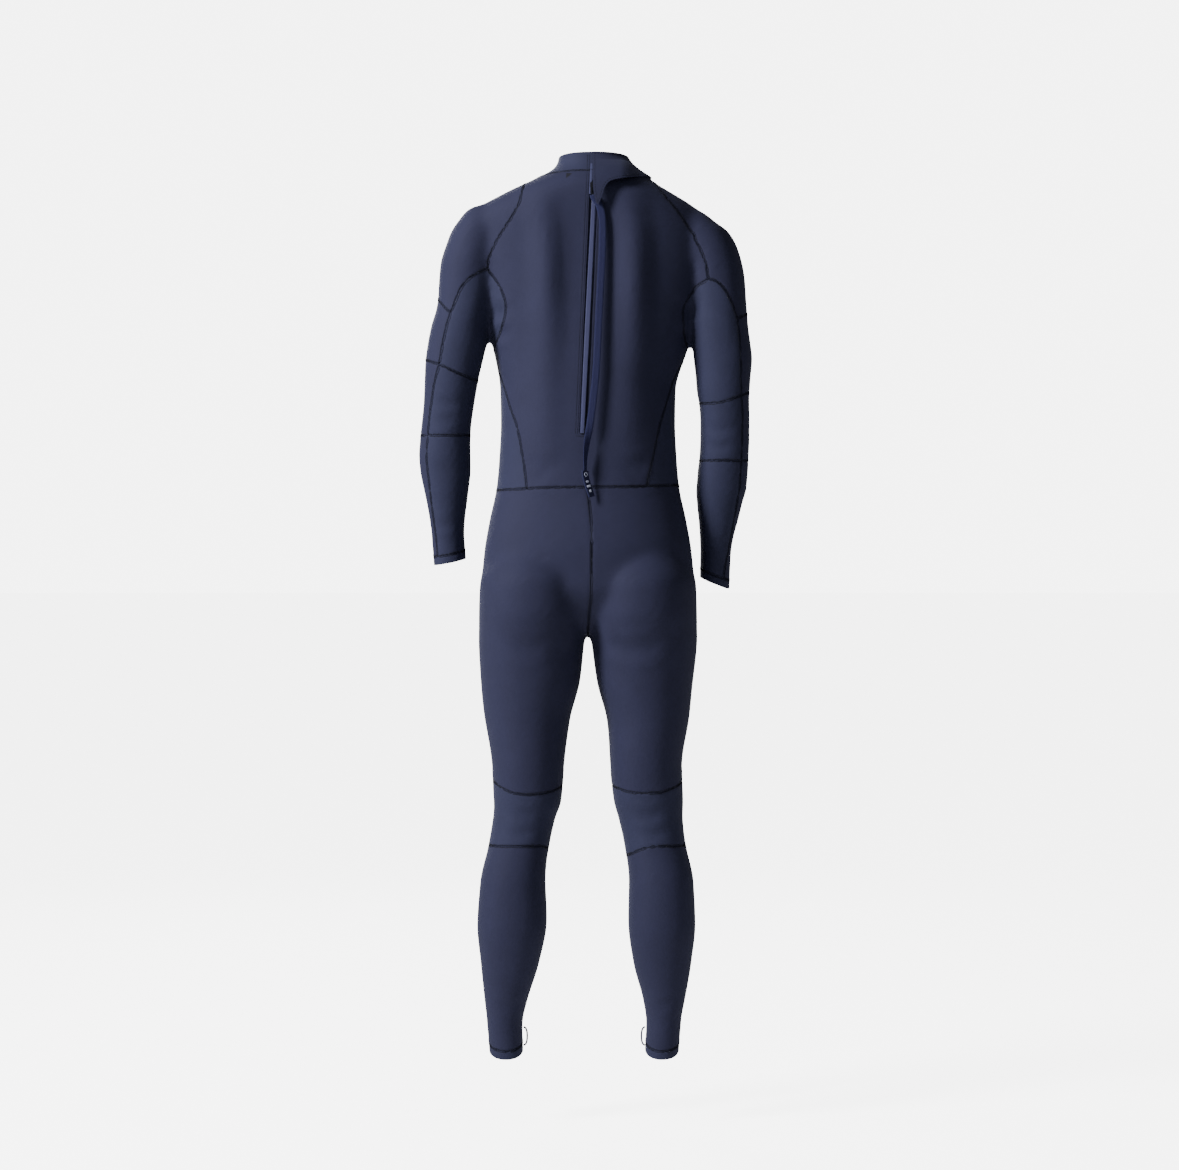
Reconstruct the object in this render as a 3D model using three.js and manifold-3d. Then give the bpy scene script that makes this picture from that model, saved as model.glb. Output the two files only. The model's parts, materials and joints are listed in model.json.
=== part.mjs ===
// Full-length back-zip wetsuit, shown filled out as it is when worn, with nobody in it.
//
// The suit is sewn from flat neoprene panels. Here each panel is a curved 3 mm thick solid, and every
// seam between two panels is a narrow gap. The body is built from lofts (torso, arms and legs), which
// are joined, hollowed and then divided along the seam lines.
//
// Millimetres, +Z up. The wearer faces +Y, so the zip is on the -Y side, and the wearer's left arm
// is on the -X side. The origin is the middle of the neck opening.
import * as THREE from 'three';
import { LoftGeometry } from 'three/addons/geometries/LoftGeometry.js';
import { mergeVertices } from 'three/addons/utils/BufferGeometryUtils.js';
import Module from 'manifold-3d';

const wasm = await Module();
wasm.setup();

// ---------------------------------------------------------------- driving dimensions (mm)

const torsoLength = 785;        // neck opening to crotch
const legLength = 713;          // crotch to ankle opening, at the back of the leg
const girth = 1;                // grading of every width and depth, 1 for the base size
const neoprene = 3;             // thickness of the body panels
const seamGap = 0.3;            // space left between two panels
const fit = 0.3;                // space between layers that lie on each other

const hemWidth = 15;            // turned hems at wrists and ankles
const zipLength = 415;          // top stop to bottom stop
const zipLean = 2.5;            // degrees, the zip runs down towards the wearer's left
const zipStart = 46;            // top stop, below the neck opening
const slotHalf = 6.5;           // half the opening that the zip closes
const collarSlitHalf = 1.2;     // half the opening between the collar's back edges
const tapeThickness = 0.8;
const tapeHalf = 21;            // outer edge of each zip tape from the zip's middle
const coilWidth = 3.6;
const coilThickness = 2.4;
const guardThickness = 2;
const guardHalf = 46;           // half the width of the inner guard panel
const flapThickness = 2.7;
const flapLift = 10;            // how far the neck flap's tongue stands off the back
const leashWidth = 12;
const leashThickness = 1.6;
const loopCord = 2.2;           // diameter of the ankle pull loops

const elbowHalf = { left: 50, right: 49 };      // half the height of each elbow ring

// ---------------------------------------------------------------- grading

const baseTorso = 785;
const baseLeg = 713;

// height of a level that is measured down from the neck opening on the base size
function drop(level) {
  const torsoPart = Math.min(level, baseTorso);
  const legPart = Math.max(level - baseTorso, 0);
  return -torsoPart * torsoLength / baseTorso - legPart * legLength / baseLeg;
}

// the neck leans 8 mm from the plumb line through the hips; tables are measured from that line
const neckLean = 8;

// ---------------------------------------------------------------- body sections
// Each row: level below the neck, middle x, half width, front y, back y (as a distance), blade.
// blade is how far the shoulder blades and back muscles stand proud beside the spine, which
// itself runs straight down from the neck to the small of the back, as the zip needs.

const torsoTable = [
  [-40, 8, 55, 52, 58, 0],
  [0, 8, 57, 56, 60, 0],
  [12, 9, 62, 57, 63, 0],
  [22, 11, 74, 59, 72, 0],
  [32, 9, 91, 64, 83, 0],
  [42, 5, 107, 70, 92, 0],
  [54, 1, 131, 78, 96.5, 1],
  [64, 0, 150, 85, 97.2, 3],
  [80, -2, 178, 94, 97.2, 5],
  [95, -2, 194, 101, 97.1, 7],
  [120, 2, 203, 109, 97, 10],
  [160, 4, 203, 116, 96.6, 13],
  [200, 5, 195, 119, 96.2, 14],
  [250, 5, 182, 121, 95.7, 12],
  [318, 4, 161.5, 118.5, 95, 8],
  [385, 0, 146.5, 112, 94.3, 5],
  [440, 0, 145.5, 108, 93.7, 4],
  [495, 0, 148, 106, 93.2, 2],
  [546, 0, 152.5, 106, 97, 0],
  [600, 0, 164, 106, 108, 0],
  [654, 0, 173, 103, 118, 0],
  [707, 0, 177, 98, 118, 0],
  [740, 0, 160, 88, 104, 0],
  [765, 0, 118, 66, 80, 0],
  [785, 0, 46, 30, 46, 0],
];

// Limbs, each row: level, middle x, half width, middle y, half depth.

const armTable = {
  left: [
    [80, -176, 16, -12, 26],
    [90, -178, 27, -12, 38],
    [105, -180, 36, -12, 47],
    [120, -184, 43, -11, 53],
    [144, -189, 47, -10, 57],
    [171, -196, 49, -9, 59],
    [200, -199, 49, -9, 58],
    [225, -201, 48, -9, 57],
    [251, -206, 46.5, -9, 56],
    [278, -213, 47.5, -10, 55],
    [305, -217, 49, -10, 54],
    [332, -222, 48, -10, 52],
    [359, -226, 45.5, -10, 49],
    [385, -229, 43.5, -9, 46],
    [412, -232, 42, -7, 43],
    [439, -235.5, 41.5, -4, 43],
    [466, -238, 42, 0, 44],
    [493, -239, 43, 3, 44],
    [520, -238, 42, 7, 42],
    [546, -237, 38, 10, 40],
    [573, -236, 33.5, 14, 37],
    [600, -235.5, 29.5, 18, 34],
    [627, -234.6, 27.3, 22, 32],
    [665, -232, 27.3, 27, 31],
    [730, -229, 27.3, 34, 31],
  ],
  right: [
    [86, 168, 16, -12, 26],
    [95, 172, 27, -12, 38],
    [108, 178, 36, -12, 47],
    [120, 186, 46, -11, 53],
    [144, 197, 50, -10, 57],
    [171, 205, 51, -9, 59],
    [198, 211, 50, -9, 58],
    [225, 214, 49, -9, 57],
    [251, 216, 48.5, -9, 56],
    [278, 218, 48.5, -10, 55],
    [305, 221, 49, -10, 54],
    [332, 224.5, 48.6, -10, 52],
    [359, 225, 46, -10, 50],
    [385, 225, 44, -10, 48],
    [412, 227, 41.5, -9, 46],
    [439, 228, 41, -7, 44],
    [466, 228, 41, -4, 43],
    [493, 227, 41, 0, 44],
    [520, 225, 42, 4, 44],
    [546, 223, 42, 8, 43],
    [573, 220, 38, 12, 41],
    [600, 218, 33.5, 16, 38],
    [627, 215.5, 28.8, 20, 35],
    [654, 214, 26, 24, 32],
    [705, 212.5, 25.3, 30, 31],
    [770, 210.5, 25.3, 38, 31],
  ],
};

const legTable = {
  left: [
    [655, -86, 74, -14, 92],
    [707, -90, 90, -20, 113],
    [750, -91, 90.5, -18, 113],
    [785, -92.5, 89.5, -13, 106],
    [801, -94, 88.5, -11, 103],
    [868, -96, 83, -4, 95],
    [935, -101, 71, 0, 87],
    [1002, -100, 61, -2, 77],
    [1069, -101, 56, -4, 64],
    [1100, -107, 51.5, -6, 59],
    [1136, -114, 50.5, -10, 57],
    [1203, -125, 54.5, -19, 61],
    [1270, -126.5, 58, -21, 60],
    [1337, -130, 49, -17, 51],
    [1404, -137, 35.5, -10, 42],
    [1438, -139, 30, -7, 39],
    [1480, -137, 28.5, -6, 38],
    [1560, -134, 28.5, -6, 38],
  ],
  right: [
    [655, 86, 74, -14, 92],
    [707, 90, 90, -20, 113],
    [750, 91, 90.5, -18, 113],
    [785, 92.5, 89.5, -13, 106],
    [801, 94, 88.5, -11, 103],
    [868, 95, 80.5, -4, 95],
    [935, 100, 68.5, 0, 87],
    [1002, 97, 60.5, -2, 77],
    [1069, 101, 57.5, -4, 64],
    [1100, 105, 53, -6, 59],
    [1136, 111, 51, -10, 57],
    [1203, 122, 54, -19, 61],
    [1270, 123, 56, -21, 60],
    [1337, 124, 48.6, -17, 51],
    [1404, 127, 34.5, -10, 42],
    [1438, 126.5, 29.3, -7, 39],
    [1480, 124, 28.5, -6, 38],
    [1560, 120, 28.5, -6, 38],
  ],
};

// ---------------------------------------------------------------- lofting

// evenly spaced rows on a smooth curve through every column of a table
function smoothRows(table, step) {
  const levels = table.map((row) => row[0]);
  const columns = table[0].length - 1;
  const curve = new THREE.CubicInterpolant(levels, table.flatMap((row) => row.slice(1)), columns);
  const parts = Math.round((levels.at(-1) - levels[0]) / step);
  const rows = [];
  for (let k = 0; k <= parts; k++) {
    const level = levels[0] + (levels.at(-1) - levels[0]) * k / parts;
    rows.push([level, ...curve.evaluate(level)]);
  }
  return rows;
}

// one horizontal section: a rounded oval with its own front and back depth
function section(level, middleX, halfWidth, front, back, blade, count, fullness) {
  const middleY = (front - back) / 2;
  const halfDepth = (front + back) / 2;
  const bladeX = 74;
  const bladeWidth = 42;
  const ring = [];
  for (let i = 0; i < count; i++) {
    const turn = -2 * Math.PI * (i + 0.5) / count;
    const across = Math.sign(Math.cos(turn)) * Math.abs(Math.cos(turn)) ** (2 / fullness);
    const depth = Math.sign(Math.sin(turn)) * Math.abs(Math.sin(turn)) ** (2 / fullness);
    const offset = Math.min(Math.abs(Math.abs(halfWidth * across) - bladeX) / bladeWidth, 1);
    const swell = depth < 0 ? blade * Math.cos(offset * Math.PI / 2) ** 2 * -depth : 0;
    const x = middleX + halfWidth * across;
    const y = middleY + halfDepth * depth - swell;
    ring.push(new THREE.Vector3(x * girth, y * girth, drop(level)));
  }
  return ring;
}

// moves every point of a loft inwards by its own depth, square to the surface
function inset(rings, depthAt, closedStart, closedEnd) {
  const last = rings.length - 1;
  const count = rings[0].length;
  return rings.map((ring, i) => ring.map((point, j) => {
    const along = rings[Math.min(i + 1, last)][j].clone().sub(rings[Math.max(i - 1, 0)][j]);
    const around = ring[(j + 1) % count].clone().sub(ring[(j + count - 1) % count]);
    const outward = around.cross(along).normalize();
    const depth = depthAt(point);
    const moved = point.clone().addScaledVector(outward, -depth);
    if (closedStart && i === 0) moved.z = point.z - depth;
    if (closedEnd && i === last) moved.z = point.z + depth;
    return moved;
  }));
}

// points round each section, how square its oval is (2 is a plain ellipse), and the limbs' row spacing
const torsoPoints = 24;
const torsoFullness = 2.35;
const armPoints = 14;
const legPoints = 16;
const limbFullness = 2.15;
const limbRowStep = 62;

const torsoRings = torsoTable.map(([level, x, half, front, back, blade]) => section(
  level, x, half, front, back, blade, torsoPoints, torsoFullness));

function limbRings(table, count) {
  return smoothRows(table, limbRowStep).map(([level, x, half, y, depth]) => section(
    level, x, half, y + depth, depth - y, 0, count, limbFullness));
}

// ---------------------------------------------------------------- solids

function solidOf(geometry) {
  const bare = new THREE.BufferGeometry();
  bare.setAttribute('position', geometry.attributes.position);
  bare.setIndex(geometry.index);
  const merged = mergeVertices(bare, 1e-4);
  const vertProperties = new Float32Array(merged.attributes.position.array);
  const triVerts = new Uint32Array(merged.index.array);
  return new wasm.Manifold(new wasm.Mesh({ numProp: 3, vertProperties, triVerts }));
}

function loft(rings) {
  return solidOf(new LoftGeometry(rings, { capStart: true, capEnd: true }));
}

function join(solids) {
  return solids.reduce((whole, solid) => whole.add(solid));
}

const suit = new THREE.Group();

function addMesh(name, solid, look, parent = suit) {
  const { vertProperties, triVerts } = solid.getMesh();
  const geometry = new THREE.BufferGeometry();
  geometry.setAttribute('position', new THREE.BufferAttribute(vertProperties, 3));
  geometry.setIndex(new THREE.BufferAttribute(triVerts, 1));
  geometry.computeVertexNormals();
  const mesh = new THREE.Mesh(geometry, new THREE.MeshStandardMaterial(look));
  mesh.name = name;
  parent.add(mesh);
}

// ---------------------------------------------------------------- looks

const jersey = { color: 0x30344a, roughness: 0.85, metalness: 0 };
const stretchJersey = { color: 0x363c55, roughness: 0.85, metalness: 0 };
const smoothNeoprene = { color: 0x1c1e2b, roughness: 0.6, metalness: 0 };
const tapeCloth = { color: 0x2a2d42, roughness: 0.9, metalness: 0 };
const coilPlastic = { color: 0x14151f, roughness: 0.45, metalness: 0 };
const webbing = { color: 0x20285a, roughness: 0.85, metalness: 0 };
const zincPaint = { color: 0x1a1b22, roughness: 0.4, metalness: 0.6 };
const labelPrint = { color: 0xb9bfd8, roughness: 0.7, metalness: 0 };

// ---------------------------------------------------------------- body shell

const limbs = [
  ...['left', 'right'].map((side) => limbRings(armTable[side], armPoints)),
  ...['left', 'right'].map((side) => limbRings(legTable[side], legPoints)),
];

// the whole body pushed in by a depth: 0 is the outside of the suit
function bodyAt(depth) {
  const flat = () => depth;
  const torso = loft(inset(torsoRings, flat, false, true));
  return join([torso, ...limbs.map((rings) => loft(inset(rings, flat, true, false)))]);
}

// a layer that follows the torso, from one depth to a thickness further in; a negative depth is
// outside the suit, and a function gives each point its own depth
function torsoLayer(outer, thickness) {
  const depthAt = typeof outer === 'function' ? outer : () => outer;
  const skin = (extra) => loft(inset(torsoRings, (point) => depthAt(point) + extra, false, true));
  return skin(0).subtract(skin(thickness));
}

let rest = bodyAt(0).subtract(bodyAt(neoprene));

// ---------------------------------------------------------------- cutters

const far = 400;                // past the suit's front, back and sides

// an outline without doubled points or points in the middle of a straight edge
function corners(points) {
  const apart = points.filter((point, i) => point.distanceTo(points[(i + 1) % points.length]) > 0.01);
  return apart.filter((point, i) => {
    const before = point.clone().sub(apart.at(i - 1)).normalize();
    const after = apart[(i + 1) % apart.length].clone().sub(point).normalize();
    return Math.abs(before.cross(after)) > 1e-5;
  });
}

// a solid as wide as its outline in the frontal plane, from one y to another
function extrude(points, fromY, toY) {
  const shape = new THREE.Shape(corners(points));
  const geometry = new THREE.ExtrudeGeometry(shape, { depth: toY - fromY, bevelEnabled: false });
  return solidOf(geometry.rotateX(Math.PI / 2).translate(0, toY, 0));
}

// the frontal place of an [x, level] point
function place([x, level]) {
  return new THREE.Vector2(x * girth, drop(level));
}

function prism(outline, fromY = -far, toY = far) {
  return extrude(outline.map(place), fromY, toY);
}

// a smooth line through [x, level] points
function seam(points, count = 8) {
  const curve = new THREE.SplineCurve(points.map(([x, y]) => new THREE.Vector2(x, y)));
  return curve.getPoints(count).map((p) => [p.x, p.y]);
}

// a thin blade along a line, which leaves the gap between two panels
function blade(line, width = seamGap, fromY = -far, toY = far) {
  const points = line.map(place);
  const sides = points.map((point, i) => {
    const ahead = points[Math.min(i + 1, points.length - 1)];
    const behind = points[Math.max(i - 1, 0)];
    const square = ahead.clone().sub(behind).normalize().rotateAround(new THREE.Vector2(), Math.PI / 2);
    return square.multiplyScalar(width / 2);
  });
  const one = points.map((point, i) => point.clone().add(sides[i]));
  const other = points.map((point, i) => point.clone().sub(sides[i])).reverse();
  return extrude([...one, ...other], fromY, toY);
}

function cut(tool) {
  rest = rest.subtract(tool);
}

function take(name, region, look) {
  addMesh(name, rest.intersect(region), look);
  rest = rest.subtract(region);
}

// a slab below (or above) a tilted plane through a point; slopeX and slopeY are rises per mm
function slab(point, slopeX, slopeY, thickness, above = false) {
  const geometry = new THREE.BoxGeometry(2 * far, 2 * far, thickness);
  const up = new THREE.Vector3(-slopeX, -slopeY, 1).normalize();
  geometry.translate(0, 0, above ? thickness / 2 : -thickness / 2);
  geometry.applyQuaternion(new THREE.Quaternion().setFromUnitVectors(new THREE.Vector3(0, 0, 1), up));
  return solidOf(geometry.translate(...point));
}

// ---------------------------------------------------------------- openings and hems

const rimSlopeY = -0.095;
cut(slab([0, 0, 0], 0, rimSlopeY, far, true));

// each cuff: a point on the opening, its rises, and a box that keeps the cut to that limb
const cuffs = {
  left_wrist: { x: -230, level: 670, slopeX: 0.2, slopeY: 0.08, middleY: 28, inside: 28.5 },
  right_wrist: { x: 213, level: 706, slopeX: -0.4, slopeY: 0.08, middleY: 30, inside: 28.5 },
  left_ankle: { x: -137, level: 1485, slopeX: 0, slopeY: 0.33, middleY: -6, inside: 60 },
  right_ankle: { x: 124, level: 1485, slopeX: 0, slopeY: 0.33, middleY: -6, inside: 60 },
};
const outside = 75;

// the space around one limb's end, so that a cut there touches nothing else
function aroundEnd({ x, level, inside }) {
  const top = level - 70;
  const bottom = level + 120;
  const inner = x - Math.sign(x) * inside;
  const outer = x + Math.sign(x) * outside;
  return prism([[inner, top], [outer, top], [outer, bottom], [inner, bottom]]);
}

for (const [name, cuff] of Object.entries(cuffs)) {
  const reach = aroundEnd(cuff);
  const point = [cuff.x * girth, cuff.middleY * girth, drop(cuff.level)];
  const raised = [point[0], point[1], point[2] + hemWidth];
  cut(slab(point, cuff.slopeX, cuff.slopeY, far).intersect(reach));
  cut(slab(raised, cuff.slopeX, cuff.slopeY, seamGap).intersect(reach));
  const middle = [point[0], point[1], raised[2] - seamGap / 2];
  take(`${name}_hem`, slab(middle, cuff.slopeX, cuff.slopeY, far).intersect(reach), stretchJersey);
}

// ---------------------------------------------------------------- arms

const sideOf = { left: -1, right: 1 };

// seam lines as [x, level] points
const raglan = {
  left: seam([[-94, -20], [-104, 40], [-114, 86], [-141, 127], [-157.5, 156], [-166, 185]]),
  right: seam([[98, -20], [109, 40], [121, 62], [149, 95.5], [176, 139], [193, 173], [198, 204]]),
};
const gusset = {
  left: seam([[-166, 185], [-146, 214], [-136, 238], [-135, 256], [-142, 285], [-164, 332]]),
  right: seam([[198, 204], [171, 222], [158, 248], [156, 270], [158, 292], [167, 328]]),
};
// the sleeve seam, above and below the place where the seam round the outer arm meets it
const sleeveTop = {
  left: seam([[-166, 185], [-186, 196], [-204.5, 211], [-214.5, 231], [-226, 260]], 5),
  right: seam([[198, 204], [209, 206], [222, 217], [236, 240], [245, 268]], 5),
};
const sleeveFoot = {
  left: seam([[-226, 260], [-236, 292], [-245, 343.6]], 3),
  right: seam([[245, 268], [250, 312], [252.5, 395]], 3),
};
const outerSeam = {
  left: seam([[-290, 196], [-262, 216], [-245, 240], [-226, 260]], 8),
  right: seam([[295, 228], [268, 255], [256, 264], [245, 268]], 8),
};
const hoop = {
  left: [[-160, 376], [-193, 367], [-218, 357], [-245, 343.6], [-300, 325]],
  right: [[160, 406], [183, 407], [201, 408], [221, 405.6], [252.5, 395], [300, 375]],
};
const elbowLevel = { left: 410, right: 453 };
const forearmSeam = {
  left: seam([[-245, 343.6], [-256, 390], [-262, 430], [-265, 463], [-266, 500], [-262, 560],
    [-254, 620], [-249, 700]]),
  right: seam([[252.5, 395], [255, 430], [254, 480], [253, 513], [249, 560], [240, 620], [228, 680],
    [224, 740]]),
};
// between arm and flank, where the two are apart
const flank = {
  left: [[-164, 332], [-166, 345], [-170, 376], [-176, 440], [-188, 500], [-196, 620], [-196, 800]],
  right: [[167, 328], [167.5, 345], [166, 406], [168, 440], [175, 500], [186, 620], [186, 700],
    [184, 800]],
};

for (const side of ['left', 'right']) {
  const s = sideOf[side];
  const beyond = 330 * s;
  const wrist = 760;
  const bottom = elbowLevel[side] + elbowHalf[side];
  const upperFlank = flank[side].filter(([, level]) => level < hoop[side][0][1]);
  const foot = [[160 * s, bottom], [beyond, bottom]];

  cut(blade(raglan[side]));
  cut(blade(gusset[side]));
  cut(blade(sleeveTop[side]));
  cut(blade(sleeveFoot[side]));
  cut(blade(outerSeam[side]));
  const reach = prism([[beyond, 300], [beyond, wrist], [186 * s, wrist],
    ...[...flank[side]].reverse().filter(([, level]) => level < wrist)]);
  cut(blade(hoop[side]).intersect(reach));
  cut(blade(foot).intersect(reach));
  cut(blade(forearmSeam[side]).intersect(reach));

  take(`${side}_shoulder_panel`, prism([
    ...raglan[side], ...sleeveTop[side], ...[...outerSeam[side]].reverse(), [beyond, 150], [beyond, -60],
  ]), jersey);
  take(`${side}_underarm_panel`, prism([
    ...gusset[side], ...upperFlank, ...hoop[side].slice(0, -1), ...[...sleeveFoot[side]].reverse(),
    ...[...sleeveTop[side]].reverse(),
  ]), stretchJersey);
  take(`${side}_outer_sleeve_panel`, prism([
    ...outerSeam[side], ...sleeveFoot[side], hoop[side].at(-1), [beyond, hoop[side].at(-1)[1]],
    [beyond, outerSeam[side][0][1]],
  ]), jersey);

  const seamLine = forearmSeam[side];
  const innerEdge = [...seamLine, [150 * s, wrist], [150 * s, 300]];
  const elbowBand = prism([[150 * s, 300], [beyond, 300], [beyond, bottom], [150 * s, bottom]])
    .intersect(reach);
  const innerHalf = prism(innerEdge);
  take(`${side}_elbow_inner_panel`, elbowBand.intersect(innerHalf), stretchJersey);
  take(`${side}_elbow_outer_panel`, elbowBand, jersey);
  take(`${side}_forearm_inner_panel`, reach.intersect(innerHalf), stretchJersey);
  take(`${side}_forearm_outer_panel`, reach, jersey);
}

// ---------------------------------------------------------------- legs

const waist = [[-220, 554], [-156, 551.5], [-60, 547.5], [0, 546.5], [60, 546], [151, 543], [220, 541]];
const seat = seam([[-3.4, 546.6], [0, 560], [5, 600], [6, 680], [3.4, 742], [0, 775], [-1, 800]]);
const kneeMiddleY = -8;
const kneeBack = {
  left: {
    top: seam([[-190, 1022], [-159, 1032], [-142, 1044], [-121, 1052], [-95, 1053], [-67, 1051],
      [-40, 1041], [-10, 1030]]),
    bottom: seam([[-190, 1142], [-160, 1141], [-125, 1139], [-96, 1139], [-75, 1141], [-63, 1148],
      [-40, 1160]]),
  },
  right: {
    top: seam([[10, 1030], [38.5, 1040], [60, 1048], [90, 1051], [132, 1048], [156, 1036], [190, 1022]]),
    bottom: seam([[40, 1164], [65, 1158], [80, 1148], [102, 1140], [132, 1139], [164, 1142],
      [190, 1143]]),
  },
};
const kneeFront = {
  left: {
    top: seam([[-190, 1022], [-140, 1014], [-100, 1011], [-60, 1014], [-10, 1030]]),
    bottom: seam([[-190, 1142], [-150, 1158], [-112, 1164], [-75, 1162], [-40, 1160]]),
  },
  right: {
    top: seam([[10, 1030], [60, 1014], [100, 1011], [140, 1014], [190, 1022]]),
    bottom: seam([[40, 1164], [75, 1164], [112, 1164], [150, 1158], [190, 1143]]),
  },
};

cut(blade(waist));
cut(blade(seat).intersect(prism([[-220, 540], [220, 540], [220, 810], [-220, 810]])));

for (const side of ['left', 'right']) {
  const s = sideOf[side];
  const back = kneeBack[side];
  const front = kneeFront[side];
  cut(blade(back.top, seamGap, -far, kneeMiddleY));
  cut(blade(back.bottom, seamGap, -far, kneeMiddleY));
  cut(blade(front.top, seamGap, kneeMiddleY, far));
  cut(blade(front.bottom, seamGap, kneeMiddleY, far));
  const backOutline = [...back.top, ...[...back.bottom].reverse()];
  const frontOutline = [...front.top, ...[...front.bottom].reverse()];
  const sideEdges = prism([[0, 1000], [200 * s, 1000], [200 * s, 1180], [0, 1180]],
    kneeMiddleY - seamGap / 2, kneeMiddleY + seamGap / 2);
  cut(sideEdges.intersect(join([prism(backOutline), prism(frontOutline)])));
  take(`${side}_knee_back_panel`, prism(backOutline, -far, kneeMiddleY), stretchJersey);
  take(`${side}_knee_pad`, prism(frontOutline, kneeMiddleY, far), smoothNeoprene);
  take(`${side}_calf_panel`, prism([[0, 1090], [250 * s, 1090], [250 * s, 1600], [0, 1600]]), jersey);
}

const seatSide = [...seat, [0, 830], [0, 1060]];
take('left_thigh_panel', prism([
  ...waist.filter(([x]) => x < 0), ...seatSide, [-250, 1060]]), jersey);
take('right_thigh_panel', prism([
  ...waist.filter(([x]) => x >= 0), [250, 1060], [0, 1060], ...[...seatSide].reverse()]), jersey);

// ---------------------------------------------------------------- torso

const sideSeam = {
  left: seam([[-164, 332], [-150, 350], [-138, 382], [-126, 420], [-116, 449], [-107, 495], [-100, 556]]),
  right: seam([[167, 328], [151, 348], [138, 380], [128, 410], [117, 449], [107, 496], [94, 556]]),
};
for (const side of ['left', 'right']) {
  const s = sideOf[side];
  cut(blade(sideSeam[side]));
  take(`${side}_side_panel`, prism([
    ...sideSeam[side], [200 * s, 560], [200 * s, 332]]), stretchJersey);
}

// zip line: its top in the frontal plane, and the way down it
const zipTop = new THREE.Vector2(10, zipStart);
const zipTurn = THREE.MathUtils.degToRad(zipLean);
const zipDirection = new THREE.Vector2(-Math.sin(zipTurn), Math.cos(zipTurn));

// a strip beside the zip: from one side to the other, and from one place along it to another
function zipStrip(fromSide, toSide, fromAlong, toAlong) {
  const corner = (side, along) => [
    zipTop.x + zipDirection.x * along + zipDirection.y * side,
    zipTop.y + zipDirection.y * along - zipDirection.x * side,
  ];
  return prism([
    corner(fromSide, fromAlong), corner(toSide, fromAlong), corner(toSide, toAlong),
    corner(fromSide, toAlong),
  ], -far, 0);
}

const collarSeam = { level: 27, backY: -75, slopeY: -0.14 };
const collarPoint = [0, collarSeam.backY * girth, drop(collarSeam.level)];
const aboveNeck = -120;
cut(zipStrip(-collarSlitHalf, collarSlitHalf, aboveNeck, 1));
cut(zipStrip(-slotHalf, slotHalf, 0, zipLength));
cut(slab(collarPoint, 0, collarSeam.slopeY, seamGap));
const collarMiddle = [0, collarPoint[1], collarPoint[2] - seamGap / 2];
take('collar_panel', slab(collarMiddle, 0, collarSeam.slopeY, far, true), stretchJersey);
const shoulderLineY = -4;       // where front and back meet on top of the shoulders
const wholeTorso = [[-260, -20], [260, -20], [260, 700], [-260, 700]];
cut(prism(wholeTorso, shoulderLineY, shoulderLineY + seamGap));
take('back_panel', prism(wholeTorso, -far, shoulderLineY), jersey);
addMesh('front_panel', rest, jersey);

// ---------------------------------------------------------------- zip

const zipEnd = zipLength - 9;           // where the coils end, above the bottom stop
const tapeDepth = neoprene + fit;
const guardDepth = tapeDepth + tapeThickness + fit;
const coilStart = 4;                    // where the coils start, below the top stops
const stopExtra = 0.6;                  // how much wider than the coils the bottom stop is
const guardTop = -12;
const coilLayer = torsoLayer(neoprene - coilThickness, coilThickness);
const tapeLayer = torsoLayer(tapeDepth, tapeThickness);

for (const [side, s] of Object.entries(sideOf)) {
  addMesh(`${side}_zip_tape`, tapeLayer.intersect(zipStrip(s * fit / 2, s * tapeHalf, -3, zipLength + 8)),
    tapeCloth);
  addMesh(`${side}_zip_coil`,
    coilLayer.intersect(zipStrip(s * fit / 2, s * coilWidth, coilStart, zipEnd)), coilPlastic);
  addMesh(`${side}_top_stop`,
    coilLayer.intersect(zipStrip(s * fit / 2, s * coilWidth, 0.5, coilStart - fit)), zincPaint);
}
const stopHalf = coilWidth + stopExtra;
addMesh('bottom_stop',
  coilLayer.intersect(zipStrip(-stopHalf, stopHalf, zipEnd + fit, zipLength - fit)), zincPaint);
addMesh('zip_guard_panel', torsoLayer(guardDepth, guardThickness)
  .intersect(zipStrip(-guardHalf, guardHalf, guardTop, zipLength + 18)), smoothNeoprene);

// ---------------------------------------------------------------- slider and pull tab

// The zip runs straight; its line leaves the neck side of the back at this depth and slope.
const zipLineY = -98.1;
const zipRise = 0.0095;
const sliderAlong = 11;
const sliderLength = 18;
const sliderWide = 13;
const sliderNarrow = 10.4;
const plateThickness = 1.8;
const plateLift = 0.5;
const flangeThickness = 1.2;
const flangeX = coilWidth + 0.6 + flangeThickness / 2;
const bridgeWidth = 3;
const barRadius = 0.75;
const barClearance = 0.4;
const tabLength = 11.5;
const tabWidth = 10;

const pull = new THREE.Group();
pull.position.set(
  (zipTop.x + zipDirection.x * sliderAlong) * girth,
  (zipLineY + zipRise * sliderAlong) * girth,
  drop(zipStart + zipDirection.y * sliderAlong),
);
pull.quaternion.setFromUnitVectors(new THREE.Vector3(0, 0, 1),
  new THREE.Vector3(-zipDirection.x, -zipRise, zipDirection.y).normalize());
suit.add(pull);

function box(fromX, toX, fromY, toY, fromZ, toZ) {
  const geometry = new THREE.BoxGeometry(toX - fromX, toY - fromY, toZ - fromZ);
  return solidOf(geometry.translate((fromX + toX) / 2, (fromY + toY) / 2, (fromZ + toZ) / 2));
}

// a flat piece lying against the back: outline in x and z, from one y to another
function plate(shape, fromY, toY) {
  const options = { depth: toY - fromY, bevelEnabled: false, curveSegments: 3 };
  const geometry = new THREE.ExtrudeGeometry(shape, options);
  return solidOf(geometry.rotateX(Math.PI / 2).translate(0, toY, 0));
}

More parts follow.
